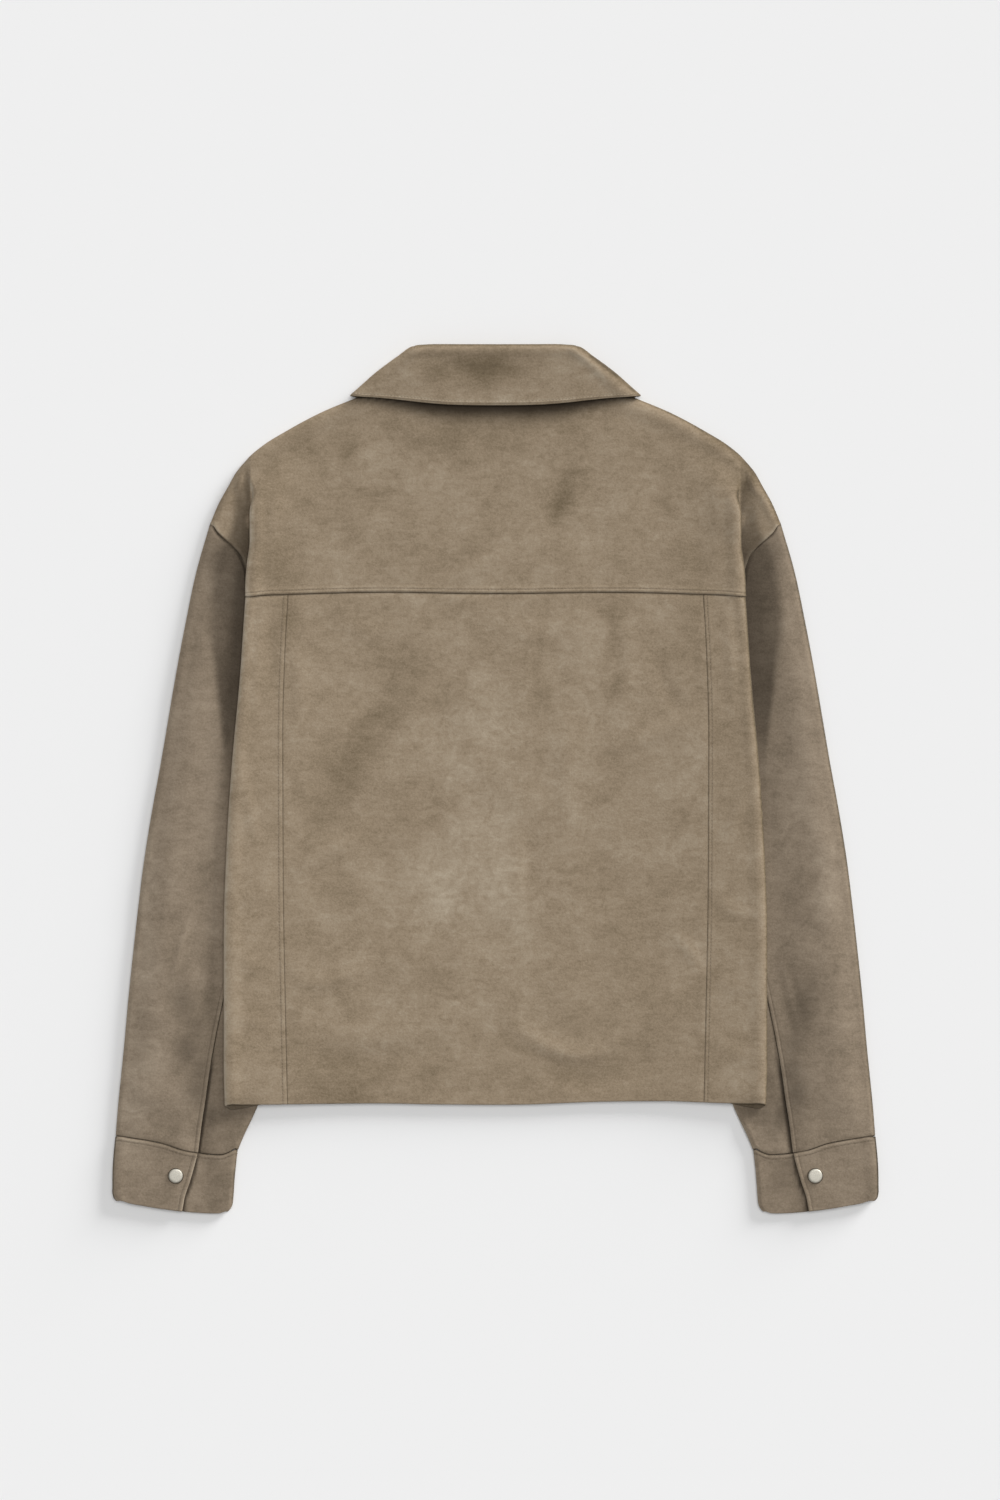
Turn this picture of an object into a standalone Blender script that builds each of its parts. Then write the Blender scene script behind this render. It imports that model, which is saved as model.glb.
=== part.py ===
"""A suede jacket laid flat on its front, back uppermost, collar toward +Y.

Every cut is a wall of suede. Its middle surface is a grid of points worked out from the sizes
below, and cloth() gives that surface its thickness. Sizes are in millimetres; the left half is
written with x counted outward from the centre back, and the right half mirrors it.
"""
import math

import bmesh
import bpy
import numpy as np

for old in list(bpy.data.objects):
    bpy.data.objects.remove(old, do_unlink=True)

# ---------------------------------------------------------------- driving sizes
metre = 0.001           # one millimetre in metres
wall = 2.0              # suede thickness
lap = 0.4               # clearance between cloth that lies on cloth
seam_gap = 0.3          # clearance between two cuts at a seam
edge_gap = 0.9          # the same where a curved seam is made of short straight edges

collar_top = 413.0      # fold of the collar, at the centre back
yoke_seam = 175.7       # yoke seam at the centre back
hem_line = -310.0       # back hem
centre_overlap = 18.0   # each front passes the centre by this much
back_base = 6.4         # middle of the back's wall where the jacket lies thinnest
shoulder_height = 6.9   # middle of the yoke's wall at the shoulder fold
pressed = 2.4           # two layers of a sleeve, middle to middle, where the body lies on it
puffed = 5.9            # the same where the sleeve stands free
collar_roll = 15.2      # middle of the collar's leaf at its fold
leaf_edge = 11.2        # the same at its free edge, which stands off the yoke
hem_lip = 2.5           # the turned-under cloth shows this far below the hem at each side fold
neck_share = 0.375      # share of the yoke's columns that lie along the neck
sleeve_width = 120.0    # flat, near the cuff
front_seam_share = 0.78  # the sleeve's front seam, across its underside from the outer fold
snap_count, first_snap, snap_spacing = 6, 259.0, 107.0
cap_diameter = 13.4     # press snap
rim_diameter = 15.0
pleat_depth = 29.0      # how far the pleat below each shoulder runs back under the yoke
pleat_bends = 4         # columns round each of its folds
leaf_swell = [2.6, 3.4, 4.0, 4.0, 4.0, 4.0]   # how round the leaf turns at its sides, fold to free edge
stand_swell = 2.4


def table(columns, *rows):
    """Rows of sizes under named columns."""
    return {name: [row[i] for row in rows] for i, name in enumerate(columns.split())}


# the body's side fold, shoulder to hem
side_fold = table(
    "y      x      height  reach",     # height: middle of the back at the fold; reach: how far in it falls
    (305,   233,   6.9,    60),
    (236,   233,   9.8,    90),
    (174,   238,   9.8,    115),
    (100,   243,   11.0,   150),
    (12,    251,   11.7,   195),
    (-68,   256,   11.7,   190),
    (-144,  258.4, 11.7,   180),
    (-277,  258.4, 11.4,   165),
    (-313,  257.4, 11.0,   155))

# where the back's cloth, turned under at the side, meets the front: armhole, then side seam
turned_edge = table(
    "y      x      rise",              # rise: the front's underside over the floor, at this edge
    (241,   272.2, 0.0),
    (219,   252,   0.0),
    (190,   228,   0.0),
    (163,   208,   0.0),
    (120,   194,   2.4),
    (60,    180,   2.4),
    (12,    172,   4.8),
    (-60,   176,   4.8),
    (-130,  183,   4.8),
    (-210,  190,   4.8),
    (-313,  205,   4.8))

# centre back panel to side panel
back_seam = table(
    "y      x",
    (175,   197),
    (122,   200),
    (46,    202),
    (-105,  201.5),
    (-220,  199.5),
    (-313,  197.5))

# outer fold of the sleeve, shoulder to cuff
sleeve_outer = table(
    "y      x",
    (241,   272.2),
    (198,   284.5),
    (141,   296.4),
    (84,    306.9),
    (27,    316.4),
    (-30,   326.8),
    (-87,   335.8),
    (-144,  342.5),
    (-201,  348.7),
    (-258,  353.9),
    (-315,  359.6),
    (-339,  361.5))

# inner fold of the sleeve: under the body down to the hem, then in sight
sleeve_inner = table(
    "y      x",
    (12,    172.0),
    (-60,   180.0),
    (-130,  189.0),
    (-210,  202.0),
    (-280,  217.0),
    (-315,  227.5),
    (-329,  235.0),
    (-351,  244.6))

# the part of the armhole that shows beyond the pleat, shoulder to pleat
armhole_seen = table(
    "y      x",
    (241,   272.2),
    (226,   257),
    (212,   243),
    (195,   237.5),
    (183,   236))

# outlines, as points in plan that a curve passes through
shoulder_line = [(95, 378), (141, 358.5), (150, 354.6), (160, 350.9), (187, 337.4), (225, 314.3),
                 (236, 304.5)]
shoulder_end = [(236, 304.5), (247, 291.4), (258.9, 269.6), (267, 255.3), (272.2, 241)]
shoulder_seam = [(97, 352), (150, 326), (190, 303), (222, 274), (236, 250), (252, 222)]
armhole_back = [(272.2, 241), (257, 226), (243, 212), (237.5, 195), (236, 181), (225, 172), (208, 163),
                (192, 112), (172, 12)]
armhole_front = [(272.2, 241), (252, 219), (228, 190), (208, 163), (192, 112), (172, 12)]
neck_back = [(0, 376), (50, 377), (95, 378)]
neck_front = [(95, 378), (97, 352), (80, 326), (50, 307), (10, 300)]
cuff_seam = [(361.5, -339), (318.7, -346.0), (290.2, -354.6), (261.7, -357.4), (244.6, -351)]
cuff_outer = [(361.5, -339), (364.2, -372), (364.4, -393), (363.6, -398), (360.6, -401)]
cuff_inner = [(244.6, -351), (247.5, -380), (249.1, -401), (250.4, -407.4), (254.4, -411.3)]
cuff_end = [(360.6, -401), (345.3, -404.0), (311.1, -409.7), (276.9, -413.0), (264, -413.3), (254.4, -411.3)]
cuff_rows = [0, 0.25, 0.5, 0.75, 0.88, 0.95, 1]
cuff_lap = [0.671, 0.6535, 0.6305, 0.597, 0.591, 0.5915, 0.592]   # lapped end: share across from outer fold

# the collar's leaf: its side fold, which way that fold faces at each point, and its free edge
leaf_side = [(98.8, 397.8), (118.3, 382.6), (129.2, 372.8), (138.4, 364.9)]
leaf_facing = [(0.63, 0.77), (0.63, 0.77), (0.66, 0.75), (0.98, 0.10)]
leaf_free = [(0, 357), (29, 357.2), (52, 358), (75, 359.9), (97, 362.3), (118, 364)]

# the yoke seam's rise by distance from the centre back
yoke_wave = [(0, 0), (40, 0.2), (75, 0.9), (105, 1.2), (150, 0.6), (181, -0.6), (212, -1.4), (226, -2.2),
             (236, -3.2), (262, -3.8)]

# the hem's rise, from the left side to the right
hem_wave = [(-260, -0.8), (-209, -0.5), (-165, 0.2), (-105, 0.9), (-50, 0.2), (20, 0.2), (75, 1.8),
            (115, 2.8), (170, 2.8), (208, 1.1), (260, 0)]

# the sleeve's back seam: share along the sleeve, and share across it from the outer fold
sleeve_seam = [(0, 0.66), (0.55, 0.605), (0.671, 0.587), (0.761, 0.582), (0.833, 0.5865), (0.9, 0.6104),
               (0.95, 0.644), (1, 0.676)]

suede_brown = (0.300, 0.245, 0.180)
sleeve_brown = (0.270, 0.215, 0.155)
pale_nickel = (0.72, 0.70, 0.66)


# ---------------------------------------------------------------- curves and surfaces
def ease(x):
    """0 to 1 with level ends."""
    x = np.clip(x, 0.0, 1.0)
    return x * x * (3.0 - 2.0 * x)


def read(rows, column, y):
    """A column of a table at height y, joined by a curve that never overshoots its rows."""
    knots = np.array(rows["y"][::-1], float)
    values = np.array(rows[column][::-1], float)
    return through(knots, values, y)


def through(knots, values, at):
    """Monotone cubic curve through values at rising knots."""
    steps = np.diff(knots)
    slopes = np.diff(values) / steps
    tangents = np.zeros(len(knots))
    tangents[0], tangents[-1] = slopes[0], slopes[-1]
    for i in range(1, len(knots) - 1):
        if slopes[i - 1] * slopes[i] > 0:
            before = 2 * steps[i] + steps[i - 1]
            after = steps[i] + 2 * steps[i - 1]
            tangents[i] = (before + after) / (before / slopes[i - 1] + after / slopes[i])
    at = np.clip(np.asarray(at, float), knots[0], knots[-1])
    i = np.clip(np.searchsorted(knots, at) - 1, 0, len(knots) - 2)
    t = (at - knots[i]) / steps[i]
    rise = t * t * (3 - 2 * t)
    return (values[i] * (1 - rise) + values[i + 1] * rise
            + steps[i] * (tangents[i] * t * (1 - t) ** 2 - tangents[i + 1] * t * t * (1 - t)))


def path(points):
    """A plan curve through the points, read by its share of length, 0 to 1."""
    points = np.array(points, float)
    knots = np.concatenate([[0.0], np.cumsum(np.linalg.norm(np.diff(points, axis=0), axis=1))])
    knots /= knots[-1]

    def at(share):
        share = np.asarray(share, float)
        return np.stack([through(knots, points[:, 0], share), through(knots, points[:, 1], share)], axis=-1)
    return at


def down(rows, top, bottom):
    """A table's x column as a plan curve from y = top to y = bottom."""
    def at(share):
        y = top + (bottom - top) * np.asarray(share, float)
        return np.stack([read(rows, "x", y), y], axis=-1)
    return at


def patch(first, last, left, right, across, along):
    """Plan points between four edges: first and last run across, left and right run along."""
    s = np.asarray(across, float)[None, :, None]
    t = np.asarray(along, float)[:, None, None]
    a, b = first(across)[None], last(across)[None]
    c, d = left(along)[:, None], right(along)[:, None]
    corners = ((1 - s) * (1 - t) * a[:, :1] + s * (1 - t) * a[:, -1:]
               + (1 - s) * t * b[:, :1] + s * t * b[:, -1:])
    return (1 - t) * a + t * b + (1 - s) * c + s * d - corners


def outward(edge):
    """Unit plan normals of a row of plan points, to the right of their direction."""
    run = np.gradient(edge, axis=0)
    normal = np.stack([run[:, 1], -run[:, 0]], axis=-1)
    return normal / np.linalg.norm(normal, axis=1)[:, None]


def roll(low, high, push, swell, steps):
    """Rows of a rounded fold from the low edge round to the high edge, both rows of 3-D points."""
    angles = np.linspace(0, math.pi, steps + 2)[1:-1]
    middle, half = (low + high) / 2, (low - high) / 2
    bulge = np.concatenate([push, np.zeros((len(push), 1))], axis=1) * np.asarray(swell)[:, None]
    return [middle + half * math.cos(angle) + bulge * math.sin(angle) for angle in angles]


def raised(plan, height):
    """Plan points with their height."""
    return np.concatenate([plan, np.broadcast_to(height, plan.shape[:-1])[..., None]], axis=-1)


# ---------------------------------------------------------------- solids
def material(name, colour, roughness, metallic=0.0):
    made = bpy.data.materials.new(name)
    made.use_nodes = True
    shader = made.node_tree.nodes["Principled BSDF"]
    shader.inputs["Base Color"].default_value = (*colour, 1.0)
    shader.inputs["Roughness"].default_value = roughness
    shader.inputs["Metallic"].default_value = metallic
    return made


suede = material("suede", suede_brown, 0.9)
sleeve_suede = material("sleeve_suede", sleeve_brown, 0.9)
nickel = material("nickel", pale_nickel, 0.35, 1.0)


def add_object(name, mesh_points, faces, surface, smooth_angle=40):
    mesh = bpy.data.meshes.new(name)
    mesh.from_pydata([tuple(point) for point in mesh_points], [], faces)
    shape = bmesh.new()
    shape.from_mesh(mesh)
    bmesh.ops.recalc_face_normals(shape, faces=shape.faces)
    shape.to_mesh(mesh)
    shape.free()
    mesh.shade_smooth()
    mesh.set_sharp_from_angle(angle=math.radians(smooth_angle))
    mesh.materials.append(surface)
    made = bpy.data.objects.new(name, mesh)
    bpy.context.scene.collection.objects.link(made)
    return made


def cloth(name, grid, surface, kept=None, thickness=wall):
    """A closed wall of even thickness about a grid of middle points; kept marks the cells it has."""
    rows, columns = grid.shape[:2]
    along = np.gradient(grid, axis=0)
    across = np.gradient(grid, axis=1)
    normal = np.cross(along, across)
    normal /= np.maximum(np.linalg.norm(normal, axis=2), 1e-9)[..., None]
    above = grid + normal * thickness / 2
    below = grid - normal * thickness / 2
    points = np.concatenate([above.reshape(-1, 3), below.reshape(-1, 3)])
    points[:, 2] = np.maximum(points[:, 2], 0.0)
    count = rows * columns
    faces, edges = [], {}
    for i in range(rows - 1):
        for j in range(columns - 1):
            if kept is not None and not kept[i][j]:
                continue
            ring = [i * columns + j, i * columns + j + 1, (i + 1) * columns + j + 1, (i + 1) * columns + j]
            faces.append(ring)
            faces.append([count + corner for corner in reversed(ring)])
            for start, end in zip(ring, ring[1:] + ring[:1]):
                if (end, start) in edges:
                    del edges[(end, start)]
                else:
                    edges[(start, end)] = True
    for start, end in edges:
        faces.append([end, start, count + start, count + end])
    used = sorted({corner for face in faces for corner in face})
    place = {corner: i for i, corner in enumerate(used)}
    faces = [[place[corner] for corner in face] for face in faces]
    return add_object(name, points[used] * metre, faces, surface)


def mirrored(grid, side):
    return grid * np.array([side, 1.0, 1.0])


def turned(name, profile, centre, surface, sides=16):
    """A solid of revolution about a vertical axis; profile rows are radius and height."""
    points, faces = [], []
    for radius, height in profile:
        for k in range(sides):
            angle = 2 * math.pi * k / sides
            points.append((radius * math.cos(angle), radius * math.sin(angle), height))
    rings = len(profile)
    for i in range(rings - 1):
        for k in range(sides):
            after = (k + 1) % sides
            faces.append([i * sides + k, i * sides + after, (i + 1) * sides + after, (i + 1) * sides + k])
    faces.append(list(range(sides)))
    faces.append(list(range((rings - 1) * sides, rings * sides)))
    return add_object(name, (np.array(points) + np.array(centre)) * metre, faces, surface)


# ---------------------------------------------------------------- heights of the layers
def layer(number):
    """Middle height of the flat layer with this many others under it."""
    return wall / 2 + number * (wall + lap)


def back_height(x, y):
    """Middle of the back: thin down the middle, lifted at the sides by what is turned under."""
    inside = np.clip(read(side_fold, "x", y) - x, 0, None)
    fall = np.clip(1 - inside / read(side_fold, "reach", y), 0, 1) ** 2
    return back_base + (read(side_fold, "height", y) - back_base) * fall


def sleeve_height(x, y):
    """Middle of the sleeve's upper layer: pressed beside the body, full further out and past the hem."""
    free = ease((x - read(side_fold, "x", y) - 3) / 36)
    past_hem = ease((hem_line - 6 - y) / 26)
    shoulder = ease((y - 238) / 62)
    full = 1 - (1 - free) * (1 - past_hem) * (1 - shoulder)
    rim = 1 - 0.25 * (1 - ease((read(sleeve_outer, "x", y) - x) / 24)) * (1 - shoulder)
    cuff = ease((-y - 318) / 24) * ease((296 - x) / 14)
    spread = pressed + (puffed * rim - pressed) * full
    return layer(0) + spread * (1 - cuff) + 3.5 * cuff


def collar_lift(x, y):
    """How far the collar's front points lift the layer that lies on them."""
    return (wall + lap) * ease((x - 18) / 10) * ease((180 - x) / 24) * ease((y - 236) / 26)


def front_height(x, y, side):
    """Middle of a front: on the floor, lifted at its side edge, over the other front and by the collar."""
    out = np.maximum(x, 0)
    inside = read(turned_edge, "x", y) - x
    at_edge = read(turned_edge, "rise", y) * ease(1 - inside / 48)
    lapped = (wall + 1.5 * lap) * ease((68 - x) / 32) if side > 0 else 0.0 * x
    return layer(0) + np.maximum(np.maximum(at_edge, lapped), collar_lift(out, y))


# ---------------------------------------------------------------- back
def yoke_line(x):
    """The yoke seam: nearly level, dipping a little into each side fold."""
    knots, rises = np.array(yoke_wave).T
    return yoke_seam + through(knots, rises, np.abs(x))


def with_wave(grid, shares, side=1):
    """The hem is not quite level, and the cloth above it follows, less and less."""
    knots, rises = np.array(hem_wave).T
    grid[..., 1] += through(knots, rises, grid[..., 0] * side) * shares[:, None] ** 3
    return grid


def back_centre():
    half, shares = np.linspace(0, 1, 7), np.linspace(0, 1, 16)
    grid = []
    for share in shares:
        y = yoke_seam + (hem_line - yoke_seam) * share
        x = half * (read(back_seam, "x", y) - seam_gap / 2)
        top = yoke_line(x) - seam_gap / 2
        y = top + (hem_line + half - top) * share
        row = np.stack([x, y, back_height(x, y)], axis=-1)
        grid.append(np.concatenate([row[:0:-1] * [-1, 1, 1], row]))
    cloth("back_centre", with_wave(np.array(grid), shares), suede)


def back_side(name, side):
    """From the back seam to the side fold, round it, and back under to the front."""
    grid = []
    shares = np.linspace(0, 1, 16)
    for share in shares:
        middle = yoke_seam + (hem_line - yoke_seam) * share
        high, low = read(side_fold, "height", middle), layer(2)
        radius = (high - low) / 2
        seam = read(back_seam, "x", middle) + seam_gap / 2
        turn_x = read(side_fold, "x", middle) - wall / 2 - radius
        lip = hem_lip * ease((-middle - 290) / 20)
        row = []
        for x in seam + (turn_x - seam) * np.linspace(0, 1, 5):
            top = yoke_line(x) - seam_gap / 2
            y = top + (hem_line + 1 - top) * share
            row.append((x, y, back_height(x + (wall / 2 + radius) * (x - seam) / (turn_x - seam), middle)))
        for angle in np.linspace(0, math.pi, 7)[1:-1]:
            row.append((turn_x + radius * math.sin(angle), y - lip * angle / math.pi,
                        (high + low) / 2 + radius * math.cos(angle)))
        under_top = yoke_line(turn_x) - seam_gap / 2 - 3
        y = under_top + (hem_line - lip - under_top) * share
        under = read(turned_edge, "x", y) + seam_gap / 2
        for part in np.linspace(0, 1, 5):
            drawn_in = (lip + 1.5 * share) * ease((part - 0.3) / 0.4)
            row.append((turn_x + (under - turn_x) * part, y + drawn_in, low))
        grid.append(row)
    cloth(name, mirrored(with_wave(np.array(grid), shares, side), side), suede)


# ---------------------------------------------------------------- yoke
def pleat(turn, depth, outer, inner):
    """Run and fall along cloth that turns under by an angle, runs back and turns out again."""
    bends = (np.arange(pleat_bends) + 0.5) / pleat_bends * turn
    headings = np.concatenate([bends, [turn], bends[::-1]])
    lengths = np.concatenate([np.full(pleat_bends, max(outer * turn / pleat_bends, 1.2)), [max(depth, 1.5)],
                              np.full(pleat_bends, max(inner * turn / pleat_bends, 0.9))])
    run = np.concatenate([[0], np.cumsum(lengths * np.cos(headings))])
    fall = np.concatenate([[0], np.cumsum(lengths * np.sin(headings))])
    return run, fall


def yoke_edge(share):
    """Top edge of the yoke's back: half the neck, then the shoulder down to the pleat."""
    share = np.asarray(share, float)
    at_neck = path(neck_back)(np.clip(share / neck_share, 0, 1))
    at_shoulder = path(shoulder_line)(np.clip((share - neck_share) / (1 - neck_share), 0, 1))
    return np.where((share <= neck_share)[..., None], at_neck, at_shoulder)


def yoke():
    """Rolled over both shoulders, with a pleat down from each shoulder that covers the armhole."""
    main = np.array([0, 0.125, 0.25, 0.375, 0.53, 0.68, 0.82, 0.93, 1])
    rows = np.linspace(0, 1, 9)
    outer_parts = (0.34, 0.67, 1.0)
    low_corner = (238.2, yoke_line(235))

    def lower(across):
        return np.stack([low_corner[0] * across, yoke_line(low_corner[0] * across)], axis=-1)

    fold_line = path([low_corner, (237.5, 196), (234, 222), (233.6, 262), shoulder_end[0]])
    plan = patch(lower, yoke_edge, path([(0, yoke_seam), neck_back[0]]), fold_line, main, rows)
    end_x, end_y = np.array(shoulder_end).T
    grid = []
    for i, share in enumerate(rows):
        edge_x, edge_y = plan[i, -1]
        depth = pleat_depth * ease((0.78 - share) / 0.78)
        run, fall = pleat(math.pi * ease((1 - share) / 0.6), depth, 2.0, 1.2)
        out_height = max(sleeve_height(edge_x, edge_y), layer(1)) if share > 0 else layer(1)
        high = out_height + fall[-1]
        start = edge_x - (wall / 2 + np.max(run)) * ease((1 - share) / 0.3)
        base = back_base + (shoulder_height - back_base) * ease((share - 0.5) / 0.5)
        reach = 115 - 55 * share
        row = []
        for x, y in plan[i, :-1]:
            fallen = np.clip(1 - (edge_x - x) / reach, 0, 1) ** 2
            x = x * start / edge_x
            y = y if share > 0 else yoke_line(x)
            row.append([x, y + seam_gap, base + (high - base) * fallen])
        seam_y = armhole_seen["y"][-1] + (armhole_seen["y"][0] - armhole_seen["y"][-1]) * share
        seam_x = read(armhole_seen, "x", seam_y)
        steps = [start + dx for dx in run]
        clear = edge_gap + (seam_gap - edge_gap) * share ** 6
        steps += [steps[-1] + (seam_x - clear - steps[-1]) * part for part in outer_parts]
        heights = [high - dz for dz in fall]
        beyond_seam = edge_y + through(end_x, end_y, seam_x) - end_y[0] - seam_y
        for k, x in enumerate(steps):
            across = max(k - pleat_bends, 0) / (len(steps) - 1 - pleat_bends)
            y_row = edge_y + (seam_y - edge_y) * across + seam_gap / 2
            y_top = edge_y + through(end_x, end_y, x) - end_y[0] + seam_gap / 2
            y = y_row + (y_top - y_row - beyond_seam * across ** 4) * share ** 3
            z = heights[k] if k < len(heights) else max(sleeve_height(x, y), layer(1))
            row.append([x, y, z])
        grid.append(row)
    half = np.array(grid)
    columns = half.shape[1]
    edge = half[-1, :, :2].copy()
    push = outward(edge[::-1])[::-1]
    low_height = layer(0) + collar_lift(edge[:, 0], 330.0)
    radius = (half[-1, :, 2] - low_height) / 2
    has_fold = np.arange(columns) >= int(round(neck_share * (len(main) - 1)))
    start = edge - push * ((radius + wall / 2) * has_fold)[:, None]
    half[-1, :, :2] = start
    folds = roll(half[-1], raised(start, low_height), push, radius, 3)
    seam_shares = np.clip((np.arange(columns) / (columns - 1) - neck_share / 2) / (1 - neck_share / 2), 0, 1)
    seam_line = path(shoulder_seam)(seam_shares)
    seam_line[:, 1] = front_seam(seam_line[:, 0]) + 2 * seam_gap
    under = [raised(start, low_height)]
    for part in (0.5, 1.0):
        plan_row = start + (seam_line - start) * part
        under.append(raised(plan_row, layer(0) + collar_lift(plan_row[:, 0], plan_row[:, 1])))
    full = np.concatenate([half, np.array(folds), np.array(under)])
    kept_half = np.ones((full.shape[0] - 1, columns - 1), bool)
    kept_half[len(rows) - 1:, ~has_fold[:-1]] = False
    both = np.concatenate([mirrored(full[:, :0:-1], -1), full], axis=1)
    cloth("yoke", both, suede, np.concatenate([kept_half[:, ::-1], kept_half], axis=1))


def front_seam(x):
    """The shoulder seam on the jacket's front."""
    knots, heights = np.array(shoulder_seam).T
    return through(knots, heights, x)


# ---------------------------------------------------------------- fronts
def front(name, side):
    """Hem to neck and shoulder; each front passes the centre, the left one lying outside."""
    hem_y = hem_line + 1.5
    hem = path([(-centre_overlap, hem_y), (turned_edge["x"][-1], hem_y)])
    top = path([(-centre_overlap, 299)] + neck_front[:0:-1] + shoulder_seam[1:-1] + [armhole_front[1]])
    side_edge = [(x, y) for x, y in zip(turned_edge["x"][::-1], turned_edge["y"][::-1]) if y < 20]
    side_edge[0] = (side_edge[0][0], hem_y)
    outer = path(side_edge + armhole_front[4:0:-1])
    centre = path([(-centre_overlap, hem_y), (-centre_overlap, 299)])
    across = np.array([0, 0.06, 0.11, 0.16, 0.25, 0.35, 0.45, 0.56, 0.67, 0.78, 0.89, 1.0])
    along = np.linspace(0, 1, 17)
    plan = patch(hem, top, centre, outer, across, along)
    plan[:, -1, 0] = read(turned_edge, "x", plan[:, -1, 1]) - edge_gap
    at_shoulder = plan[-1, :, 0] > shoulder_seam[0][0]
    plan[-1, at_shoulder, 1] = front_seam(plan[-1, at_shoulder, 0])
    plan[-1, :, 1] -= 3 * seam_gap
    height = front_height(plan[:, :, 0], plan[:, :, 1], side)
    return cloth(name, mirrored(with_wave(raised(plan, height), 1 - along, side), side), suede)


def press_in_snaps(panel):
    """Front snaps, their caps level with the outer face, each in a shallow seat in the cloth."""
    for k in range(snap_count):
        place = (0, first_snap - k * snap_spacing, 0)
        cap_profile = [(cap_diameter / 2 - 1.2, 0), (cap_diameter / 2, 0.35), (rim_diameter / 2, 0.6),
                       (rim_diameter / 2, 1.0)]
        turned(f"front_snap_{k + 1}", cap_profile, place, nickel)
        seat_profile = [(rim_diameter / 2 + seam_gap, -1), (rim_diameter / 2 + seam_gap, 1.3)]
        seat = turned(f"seat_{k + 1}", seat_profile, place, nickel)
        seat.hide_render = True
        seat.display_type = "WIRE"
        cut = panel.modifiers.new(f"seat_{k + 1}", "BOOLEAN")
        cut.operation = "DIFFERENCE"
        cut.solver = "EXACT"
        cut.object = seat


# ---------------------------------------------------------------- sleeves
def back_seam_share(share):
    """Where the sleeve's back seam runs across it, by the share along it."""
    knots, shares = np.array(sleeve_seam).T
    return through(knots, shares, share)


def sleeve_layers(across, along):
    """Upper and lower layers of the flattened sleeve, as points on lines from armhole to cuff."""
    outer_inset, inner_inset = 3.2, 2.1

    def outer_edge(share):
        return down(sleeve_outer, 241, -339)(share) - [outer_inset, 0]

    def inner_edge(share):
        return down(sleeve_inner, 12, -351)(share) + [inner_inset, 0]

    def row(points):
        def at(share):
            inset = inner_inset * share ** 6 - outer_inset * (1 - share) ** 6
            return path(points)(share) + np.stack([inset, 0 * inset], axis=-1)
        return at

    upper = patch(row(armhole_back), row(cuff_seam), outer_edge, inner_edge, across, along)
    lower = patch(row(armhole_front), row(cuff_seam), outer_edge, inner_edge, across, along)
    seen = (upper[0, :, 1] > 183) & (across > 0)
    upper[0, seen, 0] = read(armhole_seen, "x", upper[0, seen, 1]) + seam_gap
    hidden = upper[0, :, 1] <= 163
    shift = edge_gap + inner_inset * across ** 6
    upper[0, hidden, 0] = read(turned_edge, "x", upper[0, hidden, 1]) + shift[hidden]
    lower[0, 1:, 0] = read(turned_edge, "x", lower[0, 1:, 1]) + shift[1:]
    for layer_plan in (upper, lower):
        layer_plan[0, :, 1] -= seam_gap
        layer_plan[-1, :, 1] = cuff_line(layer_plan[-1, :, 0]) + 1.5 * seam_gap
    return upper, lower


def cuff_line(x):
    """The seam between sleeve and cuff."""
    knots, heights = np.array(cuff_seam[::-1]).T
    return through(knots, heights, x)


def column(layer_points, across, along, at):
    """Plan points along the sleeve at a share across it, which may change along it."""
    found = np.empty((len(along), 2))
    for i in range(len(along)):
        for axis in (0, 1):
            found[i, axis] = np.interp(np.broadcast_to(at, len(along))[i], across, layer_points[i, :, axis])
    return found


def fold_arc(low, high, side_sign, steps):
    """Columns of points round a sleeve's fold, from the lower layer to the upper one."""
    push = outward(low[:, :2]) * side_sign
    return roll(low, high, push, (high[:, 2] - low[:, 2]) / 2, steps)


def sleeve(side_name, side):
    across = np.linspace(0, 1, 67)
    along = np.concatenate([np.linspace(0, 0.86, 12), [0.89, 0.92, 0.95, 0.975, 1.0]])
    upper, lower = sleeve_layers(across, along)
    high, low = raised(upper, sleeve_height(upper[..., 0], upper[..., 1])), raised(lower, layer(0))
    seam = back_seam_share(along)
    gap = seam_gap / sleeve_width

    def at(points, share):
        plan = column(points, across, along, share)
        return raised(plan, sleeve_height(plan[:, 0], plan[:, 1]) if points is upper else layer(0))

    columns = [at(lower, front_seam_share * part) for part in np.linspace(1, 0, 7)]
    columns += fold_arc(low[:, 0], high[:, 0], -1, 4)
    columns += [at(upper, (seam - gap) * part ** 1.3) for part in np.linspace(0, 1, 11)]
    cloth(f"sleeve_upper_{side_name}", mirrored(np.stack(columns, axis=1), side), sleeve_suede)
    columns = [at(upper, seam + gap + (1 - seam - gap) * part) for part in np.linspace(0, 1, 6)]
    columns += fold_arc(low[:, -1], high[:, -1], 1, 3)[::-1]
    columns += [at(lower, 1 - (1 - front_seam_share - 2 * gap) * part) for part in np.linspace(0, 1, 4)]
    cloth(f"sleeve_under_{side_name}", mirrored(np.stack(columns, axis=1), side), sleeve_suede)


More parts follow.
